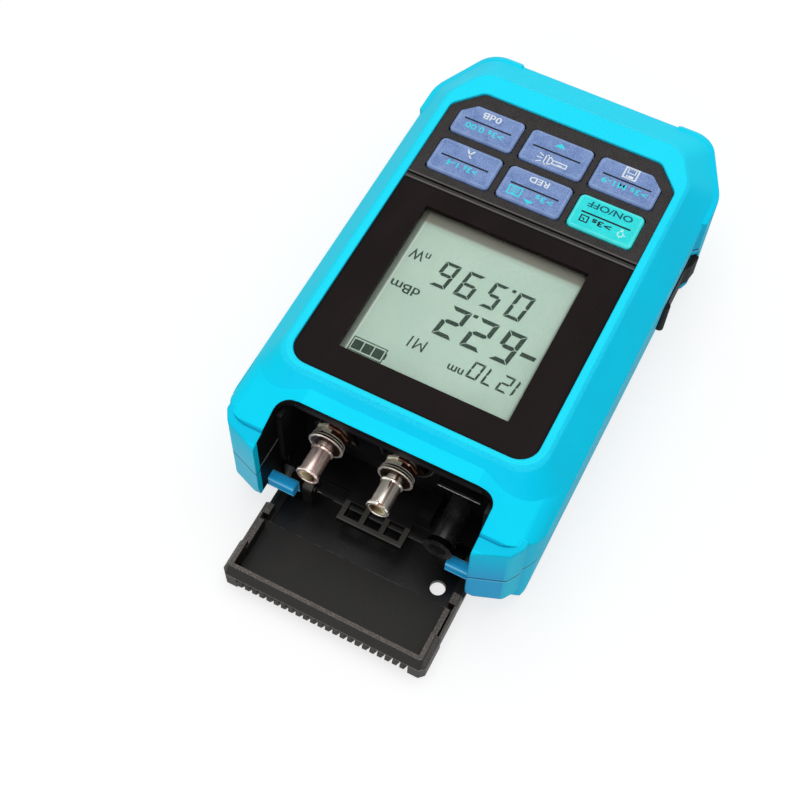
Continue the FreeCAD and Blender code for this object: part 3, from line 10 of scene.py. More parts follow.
import bmesh
import bpy
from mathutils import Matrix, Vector


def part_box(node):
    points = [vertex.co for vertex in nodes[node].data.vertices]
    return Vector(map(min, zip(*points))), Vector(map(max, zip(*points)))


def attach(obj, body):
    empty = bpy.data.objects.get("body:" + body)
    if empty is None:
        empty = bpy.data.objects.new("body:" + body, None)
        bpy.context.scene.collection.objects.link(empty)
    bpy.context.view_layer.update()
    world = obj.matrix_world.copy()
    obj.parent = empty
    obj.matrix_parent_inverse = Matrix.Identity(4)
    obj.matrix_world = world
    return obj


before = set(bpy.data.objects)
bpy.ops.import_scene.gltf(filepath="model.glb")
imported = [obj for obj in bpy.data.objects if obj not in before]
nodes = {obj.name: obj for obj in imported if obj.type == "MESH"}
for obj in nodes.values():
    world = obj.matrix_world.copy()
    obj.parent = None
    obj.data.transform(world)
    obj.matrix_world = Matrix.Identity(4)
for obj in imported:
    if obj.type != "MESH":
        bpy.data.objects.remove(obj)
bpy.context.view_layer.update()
MM = 0.001

# %% [markdown]
# Later cells place things by the solids' own boxes. A box in millimetres is easier to read, so one
# small function turns a node's corners into low and high points, and another gives the middle.

# %% Boxes in millimetres
def low_high(name):
    """Lowest and highest corner of a node, in millimetres."""
    low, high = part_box(name)
    return Vector(low) / MM, Vector(high) / MM


def middle(name):
    """The middle of a node's box, in millimetres."""
    return sum(low_high(name), Vector()) / 2


FRAME_LOW, FRAME_HIGH = low_high("display_frame")
PLATE_LOW = low_high("keypad_plate")[0]
GLASS_TOP = low_high("lcd_cell")[1].z
SEAM_Z = low_high("upper_housing")[0].z
LASER_PORT, METER_PORT = middle("laser_adapter"), middle("meter_adapter")
print("panel top at", round(FRAME_HIGH.z, 2), "glass face at", round(GLASS_TOP, 2), "seam at", SEAM_Z)

# %% [markdown]
# The camera looks down on the port end from the right, as one holds the meter on a table.
# A Track To constraint could aim it, but a fixed place and three angles keep the view exact.

# %% Camera
camera_data = bpy.data.cameras.new("camera")
camera_data.lens = 61.14
camera_data.sensor_width = 36
camera_data.clip_start = 0.01
camera = bpy.data.objects.new("camera", camera_data)
camera.location = (0.0540, -0.15807, 0.26333)
camera.rotation_euler = [math.radians(angle) for angle in (29.97226, -1.2356, 27.24699)]
bpy.context.scene.collection.objects.link(camera)
bpy.context.scene.camera = camera
bpy.context.scene.view_settings.view_transform = "Standard"
print("camera at", tuple(camera.location))

# %% [markdown]
# Shader maths reads best as ordinary arithmetic. Wiring each Math node by hand would be long,
# so a small class stands for a socket: adding, multiplying or comparing it puts a Math node in.

# %% Sockets that do arithmetic
class Wire:
    """One output socket of a shader tree, which can be used in Python arithmetic."""

    def __init__(self, finish, socket):
        self.finish = finish
        self.socket = socket

    def __add__(self, other):
        return self.finish.maths("ADD", self, other)

    __radd__ = __add__

    def __sub__(self, other):
        return self.finish.maths("SUBTRACT", self, other)

    def __rsub__(self, other):
        return self.finish.maths("SUBTRACT", other, self)

    def __mul__(self, other):
        return self.finish.maths("MULTIPLY", self, other)

    __rmul__ = __mul__

    def __gt__(self, other):
        return self.finish.maths("GREATER_THAN", self, other)

    def __lt__(self, other):
        return self.finish.maths("LESS_THAN", self, other)

    def __abs__(self):
        return self.finish.maths("ABSOLUTE", self)

    def __or__(self, other):
        """The larger of two masks."""
        return self.finish.maths("MAXIMUM", self, other)


def tint(red, green, blue):
    """A display colour, 0 to 255, as the linear colour that a shader wants."""
    def linear(level):
        level /= 255
        return level / 12.92 if level <= 0.04045 else ((level + 0.055) / 1.055) ** 2.4
    return (linear(red), linear(green), linear(blue), 1.0)


print("cyan plastic in linear light:", [round(part, 3) for part in tint(0, 203, 240)])

# %% [markdown]
# A finish is a material with one Principled shader. Its patterns are made in millimetres of the
# object's own space, so grain keeps its real size on every piece and needs no unwrapping.
# The direction that a face looks in is read from its normal: painted light and shade depend on it.
# The colour starts with two tones and is built up in coats, each with a mask that says where.

# %% Finishes
class Finish:
    """A procedural material, built node by node."""

    def __init__(self, name):
        self.material = bpy.data.materials.new(name)
        self.material.use_nodes = True
        self.tree = self.material.node_tree
        self.shader = self.tree.nodes["Principled BSDF"]
        self.place = self.node("TexCoord", out="Object")

    def node(self, kind, inputs=None, out=0, **settings):
        """Adds a node: its settings first, then the values or wires of its sockets."""
        made = self.tree.nodes.new("ShaderNode" + kind)
        for name, setting in settings.items():
            setattr(made, name, setting)
        for name, given in (inputs or {}).items():
            self.plug(made.inputs[name], given)
        return Wire(self, made.outputs[out])

    def plug(self, socket, given):
        if isinstance(given, Wire):
            self.tree.links.new(given.socket, socket)
        else:
            socket.default_value = given

    def maths(self, operation, *values):
        return self.node("Math", dict(enumerate(values)), operation=operation)

    def mix(self, amount, first, second):
        """A colour between two, by an amount from 0 to 1."""
        return self.node("Mix", {0: amount, 6: first, 7: second}, 2, data_type="RGBA")

    def two_tone(self, pattern, low, high, first, second):
        """Starts the colour: one tone where a pattern is low, another where it is high."""
        self.colour = self.mix(self.ramp(pattern, low, high), first, second)

    def coat(self, amount, colour):
        """Lays a colour over the colour so far, by an amount from 0 to 1."""
        self.colour = self.mix(amount, self.colour, colour)

    def spread(self, size_mm, stretch=(1, 1, 1), seed=0.0):
        """The point on the surface, scaled so that a pattern's lumps are about size_mm across."""
        scale = [part / (size_mm * MM) for part in stretch]
        return self.node("Mapping", {"Vector": self.place, "Scale": scale, "Location": (seed,) * 3})

    def grain(self, size_mm, detail=2.0, stretch=(1, 1, 1), seed=0.0):
        """Cloudy noise."""
        moved = self.spread(size_mm, stretch, seed)
        return self.node("TexNoise", {"Vector": moved, "Scale": 1.0, "Detail": detail})

    def tool_rings(self):
        """Fine rings round the Y axis, as a cutting tool leaves them: noise along Y alone."""
        return self.grain(0.12, 2, stretch=(0.02, 1, 0.02))

    def cells(self, size_mm):
        """Voronoi cells: the distance to each cell's middle."""
        return self.node("TexVoronoi", {"Vector": self.spread(size_mm), "Scale": 1.0}, out="Distance")

    def axis(self, letter):
        """One coordinate of the surface point, in millimetres."""
        return self.node("SeparateXYZ", {0: self.place}, "XYZ".index(letter)) * (1 / MM)

    def facing(self, letter):
        """How far the face looks along an axis, from -1 to 1."""
        normal = self.node("TexCoord", out="Normal")
        return self.node("SeparateXYZ", {0: normal}, "XYZ".index(letter))

    def band(self, wire, centre, half_width):
        """1 where the wire is within half_width of the centre, else 0."""
        return abs(wire - centre) < half_width

    def between(self, wire, low, high):
        """1 where the wire lies between low and high, else 0."""
        return (wire > low) * (wire < high)

    def distance(self, first, second):
        """How far a point is from where both wires are 0."""
        return self.maths("SQRT", first * first + second * second)

    def ramp(self, wire, low, high):
        """0 at low, 1 at high, a straight ramp between."""
        return self.node("MapRange", {"Value": wire, "From Min": low, "From Max": high})

    def eased(self, radius_mm):
        """The surface normal with sharp edges shaded as if rounded."""
        return self.node("Bevel", {"Radius": radius_mm * MM}, samples=4)

    def bump(self, height, depth_mm, strength, **under):
        """A normal tilted by a pattern of heights."""
        return self.node("Bump", {"Height": height, "Distance": depth_mm * MM,
                                  "Strength": strength, **under})

    def set(self, **sockets):
        """Sets the shader's sockets, the colour first. Names use underscores for spaces."""
        self.plug(self.shader.inputs["Base Color"], self.colour)
        for name, given in sockets.items():
            self.plug(self.shader.inputs[name.replace("_", " ")], given)
        return self.material


def dress(material, *names):
    """Gives one material to nodes of the model."""
    for name in names:
        slots = nodes[name].data.materials
        slots.clear()
        slots.append(material)


print("finish helpers ready")

# %% [markdown]
# The case is moulded in a bright cyan plastic with a fine spark-eroded texture. The two shells meet
# in a hairline joint, drawn as a dark line with a lit lower lip: a groove could be modelled, but it
# is too fine to matter. The bay's cheeks belong to the black liner, so the finish turns black there.
# Painted light: faces that look up, back or towards -X are lighter. Faces that look towards the
# port end take a bluer painted shade, most of all low down, and the crest's upper edges carry a
# grainy painted highlight. The horns' tops are darker with painted shade, behind a dark painted
# shade line at the step, and the near corners carry a painted highlight below them. In the bay the
# tab takes a bluer painted shade with painted highlight lines on its edges, the hollow behind it is
# painted near black as shade, and a thin painted highlight runs along the -X cheek.

# %% Cyan case plastic
CHEEK_X = 23.5
TAB_TOP_Z = 11.3
TAB_FACE_Y = -52.95
CREST_EDGE_Z = 35.1


def cyan_plastic():
    finish = Finish("cyan_moulded_plastic")
    x, y, z = (finish.axis(letter) for letter in "XYZ")
    cloud = finish.grain(16, 3)
    fine = finish.grain(0.3, 2)
    finish.two_tone(cloud, 0.35, 0.65, tint(0, 203, 240), tint(0, 209, 245))
    # Painted light: faces that look up, back or towards -X are lightened.
    level = (finish.ramp(finish.facing("Z"), 0.9, 0.995) | finish.ramp(finish.facing("Y"), 0.15, 0.5)
             | finish.ramp(0 - finish.facing("X"), 0.1, 0.6))
    finish.coat(level, finish.mix(cloud, tint(0, 214, 246), tint(10, 226, 253)))
    finish.coat(finish.ramp(fine, 0.35, 0.75) * 0.12, tint(30, 228, 250))
    # Painted shade: faces that look towards the port end turn a darker blue, most low down, paler teal
    # on the -X side.
    front = finish.ramp(0 - finish.facing("Y"), 0.5, 0.98)
    foot = finish.ramp(z, 29.0, 19.0)
    finish.coat(front * (0.1 + 0.8 * foot), finish.mix(x < 0, tint(56, 164, 222), tint(98, 206, 238)))
    # Painted shade: the horns' tops are darkened.
    horn_top = (y < -52.3) * finish.between(z, 28.6, 30.25) * (finish.facing("Z") > 0.96)
    finish.coat(horn_top * 0.4, tint(0, 162, 206))
    # Painted shade: a dark line on the step before the horns.
    step = ((y < -54.0) * finish.between(z, 30.2, 31.0) * (finish.facing("Y") < -0.38)
            * finish.ramp(z, 31.0, 30.35))
    finish.coat(step * 0.8, tint(0, 112, 160))
    # Painted highlight: paler where the horns' front turns to the side.
    corner = (y < -53.0) * finish.band(abs(finish.facing("X")), 0.62, 0.24) * (z < 29.0)
    finish.coat(corner * 0.4, tint(70, 214, 242))
    # Painted highlight along the crest's upper edge, broken up by grain.
    crest_highlight = finish.band(z, CREST_EDGE_Z, 0.35) * finish.ramp(fine, 0.35, 0.65)
    finish.coat(crest_highlight * 0.2, tint(90, 240, 252))
    finish.coat(finish.band(z, SEAM_Z - 0.5, 0.2) * 0.45, tint(130, 230, 250))
    seam = finish.band(z, SEAM_Z, 0.26)
    finish.coat(seam * 0.85, tint(0, 74, 124))
    # Painted shade: the tab in the bay is a darker blue; the pale lines on its edges are painted
    # highlights.
    tab = (abs(x) < CHEEK_X) * (y < TAB_FACE_Y) * finish.between(z, 6.5, TAB_TOP_Z)
    tab_edge = finish.band(z, 10.55, 0.22) | finish.band(z, 8.3, 0.16) | finish.band(y, -53.25, 0.14)
    finish.coat(tab, finish.mix(tab_edge * 0.6, tint(34, 164, 226), tint(150, 224, 250)))
    cheek = ((abs(x) < CHEEK_X + 0.03) * finish.between(y, -57.6, -47.3) * (finish.facing("Z") < 0.5)
             * ((z > TAB_TOP_Z) | (abs(x) > CHEEK_X - 0.05)))
    # Painted shade: the hollow behind and under the tab is coloured near black.
    hollow = ((abs(x) < CHEEK_X) * finish.between(y, TAB_FACE_Y, -40.0)
              * finish.between(z, 0.25, TAB_TOP_Z + 0.1))
    finish.coat(cheek | hollow, tint(15, 14, 16))
    # Painted highlight: a thin pale line along the -X cheek.
    cheek_line = cheek * (x < 0) * (y < -49.4) * finish.band(z, 19.35, 0.11)
    finish.coat(cheek_line * 0.9, tint(190, 192, 196))
    normal = finish.bump(fine + (1 - seam) * 2.0, 0.03, 0.4, Normal=finish.eased(0.55))
    return finish.set(Roughness=0.42 + 0.14 * cloud, Normal=normal, Specular_IOR_Level=0.06)


dress(cyan_plastic(), "upper_housing", "lower_housing", "battery_cover")
print("cyan on both shells and the battery cover")

# %% [markdown]
# Black plastic is never one black, so noise lifts its colour in places. One function makes the plain
# blacks, each from its two tones and its gloss. The bay and the dust cover have their own functions,
# with masks for painted highlights on edges, painted shade in pockets and a paler shelf.

# %% Black plastics
COVER_STEP_Y = -60.55
COVER_HOLE = (17.2, -57.3)


def black_plastic(name, dark, light, grain_mm, depth_mm, roughness, gloss=0.3):
    finish = Finish(name)
    fine = finish.grain(grain_mm, 3)
    cloud = finish.grain(9, 2, seed=3.1)
    finish.two_tone(fine * 0.5 + cloud * 0.5, 0.4, 0.68, dark, light)
    return finish.set(Roughness=roughness + 0.16 * cloud, Specular_IOR_Level=gloss,
                      Normal=finish.bump(fine, depth_mm, 0.6))


def bay_plastic():
    """The port panel: near black, paler on its shelf, with painted shade below the shelf and a painted
    highlight on its boss.
    """
    finish = Finish("bay_black_plastic")
    x, y, z = (finish.axis(letter) for letter in "XYZ")
    fine = finish.grain(0.45, 3)
    cloud = finish.grain(7, 3, seed=3.1)
    finish.two_tone(cloud, 0.35, 0.7, tint(9, 9, 11), tint(21, 20, 22))
    shelf = (y < -50.9) * finish.ramp(finish.facing("Z"), 0.6, 0.95) * finish.between(z, 7.6, 8.3)
    finish.coat(shelf * (0.55 + 0.45 * (y < -55.3)), tint(84, 80, 75))
    # Painted shade: the pockets below the shelf turn near black.
    pocket_shade = (y < -51.0) * (abs(x) < 7.3) * (z < 7.5)
    finish.coat(pocket_shade * 0.9, tint(5, 5, 6))
    # Painted highlight: a pale ring on the rim of the boss round the meter port.
    ring = finish.distance(x - METER_PORT.x, z - METER_PORT.z)
    boss = finish.band(ring, 6.0, 0.16) * finish.between(y, -43.5, -42.0)
    finish.coat(boss * 0.5 * finish.ramp(cloud, 0.35, 0.6), tint(110, 106, 100))
    return finish.set(Roughness=0.34 + 0.2 * cloud, Specular_IOR_Level=0.2,
                      Normal=finish.bump(fine, 0.015, 0.5))


def cover_plastic():
    """The dust cover: brown-black, glossy behind its step, with speckled painted highlights on rim,
    step and comb.
    """
    finish = Finish("cover_black_plastic")
    x, y, z = (finish.axis(letter) for letter in "XYZ")
    fine = finish.grain(0.3, 3)
    cloud = finish.grain(8, 3, seed=1.4)
    speckle = finish.ramp(finish.cells(0.34), 0.42, 0.2)
    finish.two_tone(cloud, 0.35, 0.7, tint(18, 16, 14), tint(31, 28, 24))
    behind = (y > COVER_STEP_Y) * (z < 1.7)
    finish.coat(behind, finish.mix(finish.ramp(cloud, 0.4, 0.7), tint(7, 7, 8), tint(24, 22, 22)))
    # Painted highlight: a pale line where the step's edge catches the light.
    step_line = (finish.band(y, COVER_STEP_Y, 0.1) * (z < 2.0) * (finish.facing("Z") > 0.3)
                 * finish.ramp(finish.grain(2.2, 2), 0.42, 0.6))
    finish.coat(step_line * 0.7, tint(112, 104, 98))
    # Painted highlight: the rim's upward faces are paler, speckled.
    rim = (z > 3.9) * finish.ramp(finish.facing("Z"), 0.5, 0.9)
    finish.coat(rim * (0.3 + 0.5 * speckle), tint(132, 123, 116))
    outside = (abs(x) > 22.3) * finish.ramp(z, 0.5, 2.5)
    finish.coat(outside * (0.12 + 0.4 * speckle), tint(118, 110, 104))
    # Painted highlight: a pale line along the top of the comb.
    comb_line = (y < -75.4) * finish.band(z, 4.5, 0.22)
    finish.coat(comb_line * (0.35 + 0.4 * speckle), tint(128, 120, 112))
    hole_ring = finish.band(finish.distance(x - COVER_HOLE[0], y - COVER_HOLE[1]), 2.1, 0.5)
    finish.coat(hole_ring * (z < 2.2) * 0.7, tint(8, 8, 9))
    return finish.set(Roughness=0.44 + 0.14 * cloud - 0.16 * behind,
                      Specular_IOR_Level=0.3, Normal=finish.bump(fine + speckle * 0.6, 0.03, 0.5))


COVER_BLACK = cover_plastic()
BARREL_BLACK = black_plastic("barrel_black_plastic", tint(20, 20, 22), tint(50, 50, 52),
                             0.7, 0.02, 0.2, 0.9)
# Painted shade: the torch's reflector is coloured near black.
SHADED_REFLECTOR = black_plastic("reflector_painted_shade", tint(2, 2, 3), tint(9, 9, 9), 0.7, 0.02, 0.4, 0.1)
RUBBER = black_plastic("black_rubber", tint(20, 20, 22), tint(36, 36, 38), 0.25, 0.04, 0.66, 0.25)
CRADLE_BLACK = black_plastic("cradle_black_plastic", tint(22, 22, 23), tint(40, 40, 41), 0.4, 0.02, 0.5)
dress(bay_plastic(), "port_panel")
dress(CRADLE_BLACK, "battery_cradle")
dress(COVER_BLACK, "dust_cover")
dress(BARREL_BLACK, "torch_barrel")
dress(RUBBER, "usb_plug_cover")
print("black finishes:", COVER_BLACK.name, BARREL_BLACK.name, RUBBER.name)

# %% [markdown]
# The display's frame is a brown-black film under a clear pane. It takes faint smears and dust.
# The glass is a grey-green cell whose far and side edges lie in the frame's shade.

# %% Display frame, pane and glass
def smudged_film():
    finish = Finish("brown_black_film")
    x, y = finish.axis("X"), finish.axis("Y")
    smear = finish.grain(7, 4, stretch=(1, 0.35, 1))
    finish.two_tone(smear, 0.3, 0.7, tint(25, 18, 18), tint(31, 24, 24))
    rim = (abs(x) > FRAME_HIGH.x - 0.5) | (y < FRAME_LOW.y + 0.5) | (y > FRAME_HIGH.y - 0.4)
    finish.coat(rim * 0.55, tint(12, 10, 11))
    dust = finish.ramp(finish.grain(0.5, 1, seed=8.0), 0.72, 0.8)
    finish.coat(dust * 0.1, tint(120, 112, 108))
    return finish.set(Roughness=0.3 + 0.16 * smear, Specular_IOR_Level=0.05)


def clear_pane():
    finish = Finish("clear_pane")
    smear = finish.grain(8, 3, stretch=(1, 0.4, 1))
    finish.colour = tint(250, 253, 252)
    return finish.set(Roughness=0.03 + 0.04 * smear, IOR=1.2, Transmission_Weight=1.0, Alpha=0.12,
                      Specular_IOR_Level=0.1)


def lcd_glass():
    finish = Finish("grey_green_display_glass")
    x, y = finish.axis("X"), finish.axis("Y")
    cloud = finish.grain(11, 2, seed=1.7)
    fine = finish.grain(0.22, 1)
    finish.two_tone(cloud, 0.35, 0.65, tint(174, 199, 184), tint(182, 205, 190))
    # Painted shade: the glass darkens towards -X.
    finish.coat(finish.ramp(x, 4.0, -18.0) * 0.3, tint(164, 184, 166))
    finish.coat(finish.ramp(fine, 0.5, 0.7) * 0.3, tint(142, 162, 146))
    # Painted highlight: a thin pale line along the glass's -X edge.
    side_line = finish.band(x, -17.55, 0.13)
    finish.coat(side_line * 0.5, tint(214, 222, 208))
    far_shade = finish.ramp(y, 2.5, 3.7) * 0.25 + finish.ramp(y, 3.6, 4.3) * 0.6
    finish.coat(far_shade, tint(112, 104, 94))
    side_shade = finish.ramp(0 - x, 17.7, 18.0) * 0.75 + finish.ramp(x, 17.9, 18.2) * 0.5
    finish.coat(side_shade, tint(92, 94, 86))
    return finish.set(Roughness=0.42 + 0.1 * cloud, Specular_IOR_Level=0.12,
                      Normal=finish.bump(fine, 0.006, 0.4))


dress(smudged_film(), "display_frame")
dress(clear_pane(), "display_pane")
dress(lcd_glass(), "lcd_cell")
dress(black_plastic("grey_holder_plastic", tint(74, 66, 56), tint(98, 90, 78), 0.5, 0.02, 0.5),
      "lcd_holder")
print("display dressed")

# %% [markdown]
# The keypad is printed film over rubber: a dark, finely pebbled ground, slate-blue keys and one
# aqua key. Each key has a painted highlight along its edge. A mesh frame could stand on each key,
# but the finish measures how near a point is to its key's outline and lightens there instead.

# %% Keypad film
KEY_HALF = Vector((7.35, 4.6))
KEY_COLUMN = 16.5
KEY_ROWS = (20.1, 31.65)
KEY_RIM = 0.75
KEY_SIDE = 0.26
KEY_SHOULDER_Z = 35.2


def plate_film():
    finish = Finish("dark_keypad_film")
    pebble = finish.cells(0.24)
    cloud = finish.grain(3.2, 3, seed=2.2)
    y = finish.axis("Y")
    finish.two_tone(pebble * 0.7 + cloud * 0.4, 0.3, 0.7, tint(28, 25, 25), tint(56, 53, 52))
    # Painted highlights: two pale lines on the edges of the rib at the plate's near edge.
    lip = finish.band(y, PLATE_LOW.y + 1.75, 0.16) | finish.band(y, PLATE_LOW.y + 0.2, 0.2)
    finish.coat(lip * 0.45, tint(120, 116, 112))
    groove = finish.band(y, PLATE_LOW.y + 1.22, 0.3)
    finish.coat(groove * 0.7, tint(10, 9, 10))
    return finish.set(Roughness=0.44 + 0.14 * cloud, Specular_IOR_Level=0.2,
                      Normal=finish.bump(pebble, 0.02, 0.5))


def key_film(name, dark, light, edge):
    finish = Finish(name)
    x, y, z = (finish.axis(letter) for letter in "XYZ")
    column = finish.maths("ROUND", x * (1 / KEY_COLUMN)) * KEY_COLUMN
    far_row = y > sum(KEY_ROWS) / 2
    across = abs(x - column)
    along = abs(y - (KEY_ROWS[0] + far_row * (KEY_ROWS[1] - KEY_ROWS[0])))
    rim = (across > KEY_HALF.x - KEY_RIM) | (along > KEY_HALF.y - KEY_RIM)
    outer = (across > KEY_HALF.x - KEY_SIDE) | (along > KEY_HALF.y - KEY_SIDE)
    pebble = finish.cells(0.26)
    cloud = finish.grain(2.6, 3, seed=2.2)
    finish.two_tone(pebble * 0.6 + cloud * 0.5, 0.3, 0.75, dark, light)
    # Painted highlight along each key's edge.
    finish.coat(rim * (0.1 + 0.3 * cloud), edge)
    finish.coat((outer | (z < KEY_SHOULDER_Z)) * 0.4, dark)
    return finish.set(Roughness=0.44 + 0.14 * cloud, Specular_IOR_Level=0.18,
                      Normal=finish.bump(pebble, 0.02, 0.5))


dress(plate_film(), "keypad_plate")
SLATE = key_film("slate_key_film", tint(84, 112, 166), tint(136, 160, 208), tint(160, 180, 216))
AQUA = key_film("aqua_key_film", tint(16, 206, 212), tint(54, 228, 226), tint(130, 246, 240))
dress(SLATE, "key_reference", "key_torch", "key_save", "key_wavelength", "key_laser")
dress(AQUA, "key_power")
dress(black_plastic("grey_silicone", tint(96, 98, 102), tint(120, 122, 126), 0.5, 0.03, 0.6), "key_mat")
print("keypad dressed")

# %% [markdown]
# The ports are turned from brass and plated with nickel, so the plating is a warm silver and the
# tool has left fine rings round the axis. The plating is mottled with warm brown. Brown streaks run
# along each sleeve as a painted reflection of the dark bay in the polished metal, and the bores
# hold a golden painted reflection.

# %% Metals
PORTS_MIDDLE_X = (LASER_PORT.x + METER_PORT.x) / 2


def turned_metal(name, pale, warm, warmth_mm, roughness):
    finish = Finish(name)
    rings = finish.tool_rings()
    cloud = finish.grain(warmth_mm, 2, stretch=(1, 0.3, 1), seed=4.0)
    finish.two_tone(cloud, 0.4, 0.7, pale, warm)
    return finish.set(Metallic=1.0, Roughness=roughness + 0.12 * rings,
                      Normal=finish.bump(rings, 0.006, 0.5))


def port_radius(finish):
    """Distance from the axis of the nearer port, in millimetres."""
    aside = abs(finish.axis("X") - PORTS_MIDDLE_X) - (METER_PORT.x - PORTS_MIDDLE_X)
    return finish.distance(aside, finish.axis("Z") - METER_PORT.z)


def port_metal():
    """Plated brass of the ports: silver with painted reflections, a golden painted reflection in the
    bore, pink on the laser.
    """
    finish = Finish("plated_port_metal")
    aside = finish.axis("X") - PORTS_MIDDLE_X
    bore = port_radius(finish) < 1.72
    rings = finish.tool_rings()
    cloud = finish.grain(0.9, 2, stretch=(1, 0.12, 1), seed=4.0)
    finish.two_tone(cloud, 0.6, 0.66, tint(255, 250, 238), tint(120, 84, 66))
    side = finish.facing("X")
    # Painted reflection: brown bands along each sleeve, set by the way its faces look along X.
    reflected_streak = finish.band(side, 0.32, 0.13) * 0.75 | finish.ramp(abs(side), 0.78, 0.92) * 0.8
    finish.coat(reflected_streak, tint(112, 70, 52))
    finish.coat((aside < 0) * 0.4, tint(240, 190, 186))
    # Painted reflection in the bore: golden on the side away from the other port, dark brown on the
    # near side.
    inside = finish.mix(finish.ramp(abs(aside), 6.9, 8.9), tint(84, 52, 34), tint(250, 234, 186))
    finish.coat(bore, inside)
    return finish.set(Metallic=0.7 - 0.45 * bore, Roughness=0.17 + 0.1 * rings,
                      Normal=finish.bump(rings, 0.002, 0.5))


def washer_metal():
    """Thin washers: a painted highlight on the rim, painted shade on the faces between."""
    finish = Finish("washer_metal")
    cloud = finish.grain(1.0, 2, seed=5.0)
    # Painted highlight near each washer's rim, painted shade nearer the axis, by distance from it.
    outward = finish.ramp(port_radius(finish) + cloud * 0.5, 3.55, 3.8)
    finish.colour = finish.mix(outward, tint(62, 42, 32), tint(255, 248, 236))
    return finish.set(Metallic=0.7, Roughness=0.22 + 0.14 * cloud,
                      Normal=finish.bump(cloud, 0.004, 0.5))


def lit_and_shaded_metal():
    """Collars and threaded parts: cream and brown, painted light and shade by the way faces look, in
    patches.
    """
    finish = Finish("lit_and_shaded_metal")
    patch = finish.grain(1.3, 1, stretch=(1, 1.4, 1), seed=2.0)
    rings = finish.tool_rings()
    # Painted light and shade: faces that look towards -X are cream, towards +X brown, with random
    # patches.
    away = finish.ramp(finish.facing("X"), -0.3, 0.6) * 0.7 + patch * 0.3
    brown = finish.ramp(away, 0.4, 0.46)
    finish.colour = finish.mix(brown, tint(255, 252, 228), tint(98, 62, 46))
    return finish.set(Metallic=0.3 + 0.5 * brown, Roughness=0.3 + 0.12 * rings,
                      Normal=finish.bump(rings, 0.006, 0.5))


NICKEL = port_metal()
WASHER_METAL = washer_metal()
LIT_AND_SHADED_METAL = lit_and_shaded_metal()
# Painted shade: the nuts, hinge pins and panel screw get a darkened nickel.
SHADED_NICKEL = turned_metal("shaded_nickel", tint(70, 64, 58), tint(44, 40, 37), 1.4, 0.42)
# Pure white metal for the ledge's painted highlight.
HIGHLIGHT_STRIP_METAL = turned_metal("highlight_strip", tint(255, 255, 255), tint(236, 234, 232), 1.0, 0.5)
STEEL = turned_metal("plain_steel", tint(176, 176, 178), tint(150, 150, 152), 1.0, 0.28)
dress(NICKEL, "laser_adapter", "meter_adapter", "usb_socket")
dress(SHADED_NICKEL, "laser_adapter_nut", "meter_adapter_nut")
dress(LIT_AND_SHADED_METAL, "laser_module", "photodiode")
dress(SHADED_NICKEL, "port_panel_screw", "cover_hinge_pins")
dress(STEEL, "key_switches")
print("metals:", NICKEL.name, LIT_AND_SHADED_METAL.name, SHADED_NICKEL.name, STEEL.name)

# %% [markdown]
# What is inside is seen only when the meter is taken apart: green boards, wrapped cells and a lamp.

# %% Inner parts
def circuit_board():
    finish = Finish("green_circuit_board")
    x, y = finish.axis("X"), finish.axis("Y")
    tracks = (finish.maths("FRACT", x * 0.39) < 0.28) * (finish.maths("FRACT", y * 0.11) < 0.8)
    finish.colour = finish.mix(tracks * 0.6, tint(18, 86, 50), tint(42, 128, 74))
    return finish.set(Roughness=0.36 + 0.1 * finish.grain(1.0), Coat_Weight=0.3,
                      Normal=finish.bump(tracks, 0.03, 0.5))


def cell_wrap():
    finish = Finish("wrapped_cell")
    end = finish.axis("Y") > 44.0
    cloud = finish.grain(5, 2)
    finish.colour = finish.mix(cloud, tint(30, 50, 98), tint(44, 66, 120))
    finish.coat(end, tint(190, 190, 192))
    return finish.set(Roughness=0.3 + 0.1 * cloud, Metallic=end)


def clear_lamp():
    finish = Finish("clear_lamp")
    cloud = finish.grain(1.2, 2)
    finish.colour = finish.mix(cloud, tint(120, 122, 126), tint(176, 178, 182))
    return finish.set(Roughness=0.06 + 0.08 * cloud, Transmission_Weight=0.4, IOR=1.5)


dress(circuit_board(), "main_board", "charge_board")
dress(cell_wrap(), "battery_cells")
dress(clear_lamp(), "torch_lamp")
print("inner parts dressed")

# %% [markdown]
# What is too fine for the solids is added as small pieces. Each is built as a mesh in millimetres
# and scaled to metres at the end. Each piece rides on the body it belongs to, so it moves with its
# key or cover. One function does the paperwork: object, material and body.

# %% Making a piece
def new_object(name, data):
    made = bpy.data.objects.new(name, data)
    bpy.context.scene.collection.objects.link(made)
    return made


def belong(piece, material, body):
    """Gives a piece its finish and the body it moves with."""
    piece.data.materials.append(material)
    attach(piece, body)


def piece_from(name, shape, material, body, smooth_below=30):
    """A piece from a bmesh drawn in millimetres."""
    bmesh.ops.scale(shape, vec=(MM, MM, MM), verts=shape.verts)
    bmesh.ops.recalc_face_normals(shape, faces=shape.faces)
    mesh = bpy.data.meshes.new(name)
    shape.to_mesh(mesh)
    shape.free()
    mesh.polygons.foreach_set("use_smooth", [True] * len(mesh.polygons))
    mesh.set_sharp_from_angle(angle=math.radians(smooth_below))
    belong(new_object(name, mesh), material, body)


def lathe(shape, outline, x, z, sides=48, turn=0.0):
    """Turns a closed outline of (radius, y) points round an axis that runs along Y."""
    angles = [turn + 2 * math.pi * side / sides for side in range(sides)]
    rings = []
    for radius, y in outline:
        rings.append([shape.verts.new((x + radius * math.cos(a), y, z + radius * math.sin(a)))
                      for a in angles])
    for ring, after in zip(rings, rings[1:] + rings[:1]):
        for side in range(sides):
            beside = (side + 1) % sides
            shape.faces.new((ring[side], ring[beside], after[beside], after[side]))


print("piece helpers ready")

# %% [markdown]
# Printed marks are thin prisms that stand a hundredth of a millimetre proud of what they are
# printed on. On the panel one reads with the display away from the ports, so "right" is -X and
# "up" is -Y. Marks are drawn in those reading directions, round a centre given in millimetres.

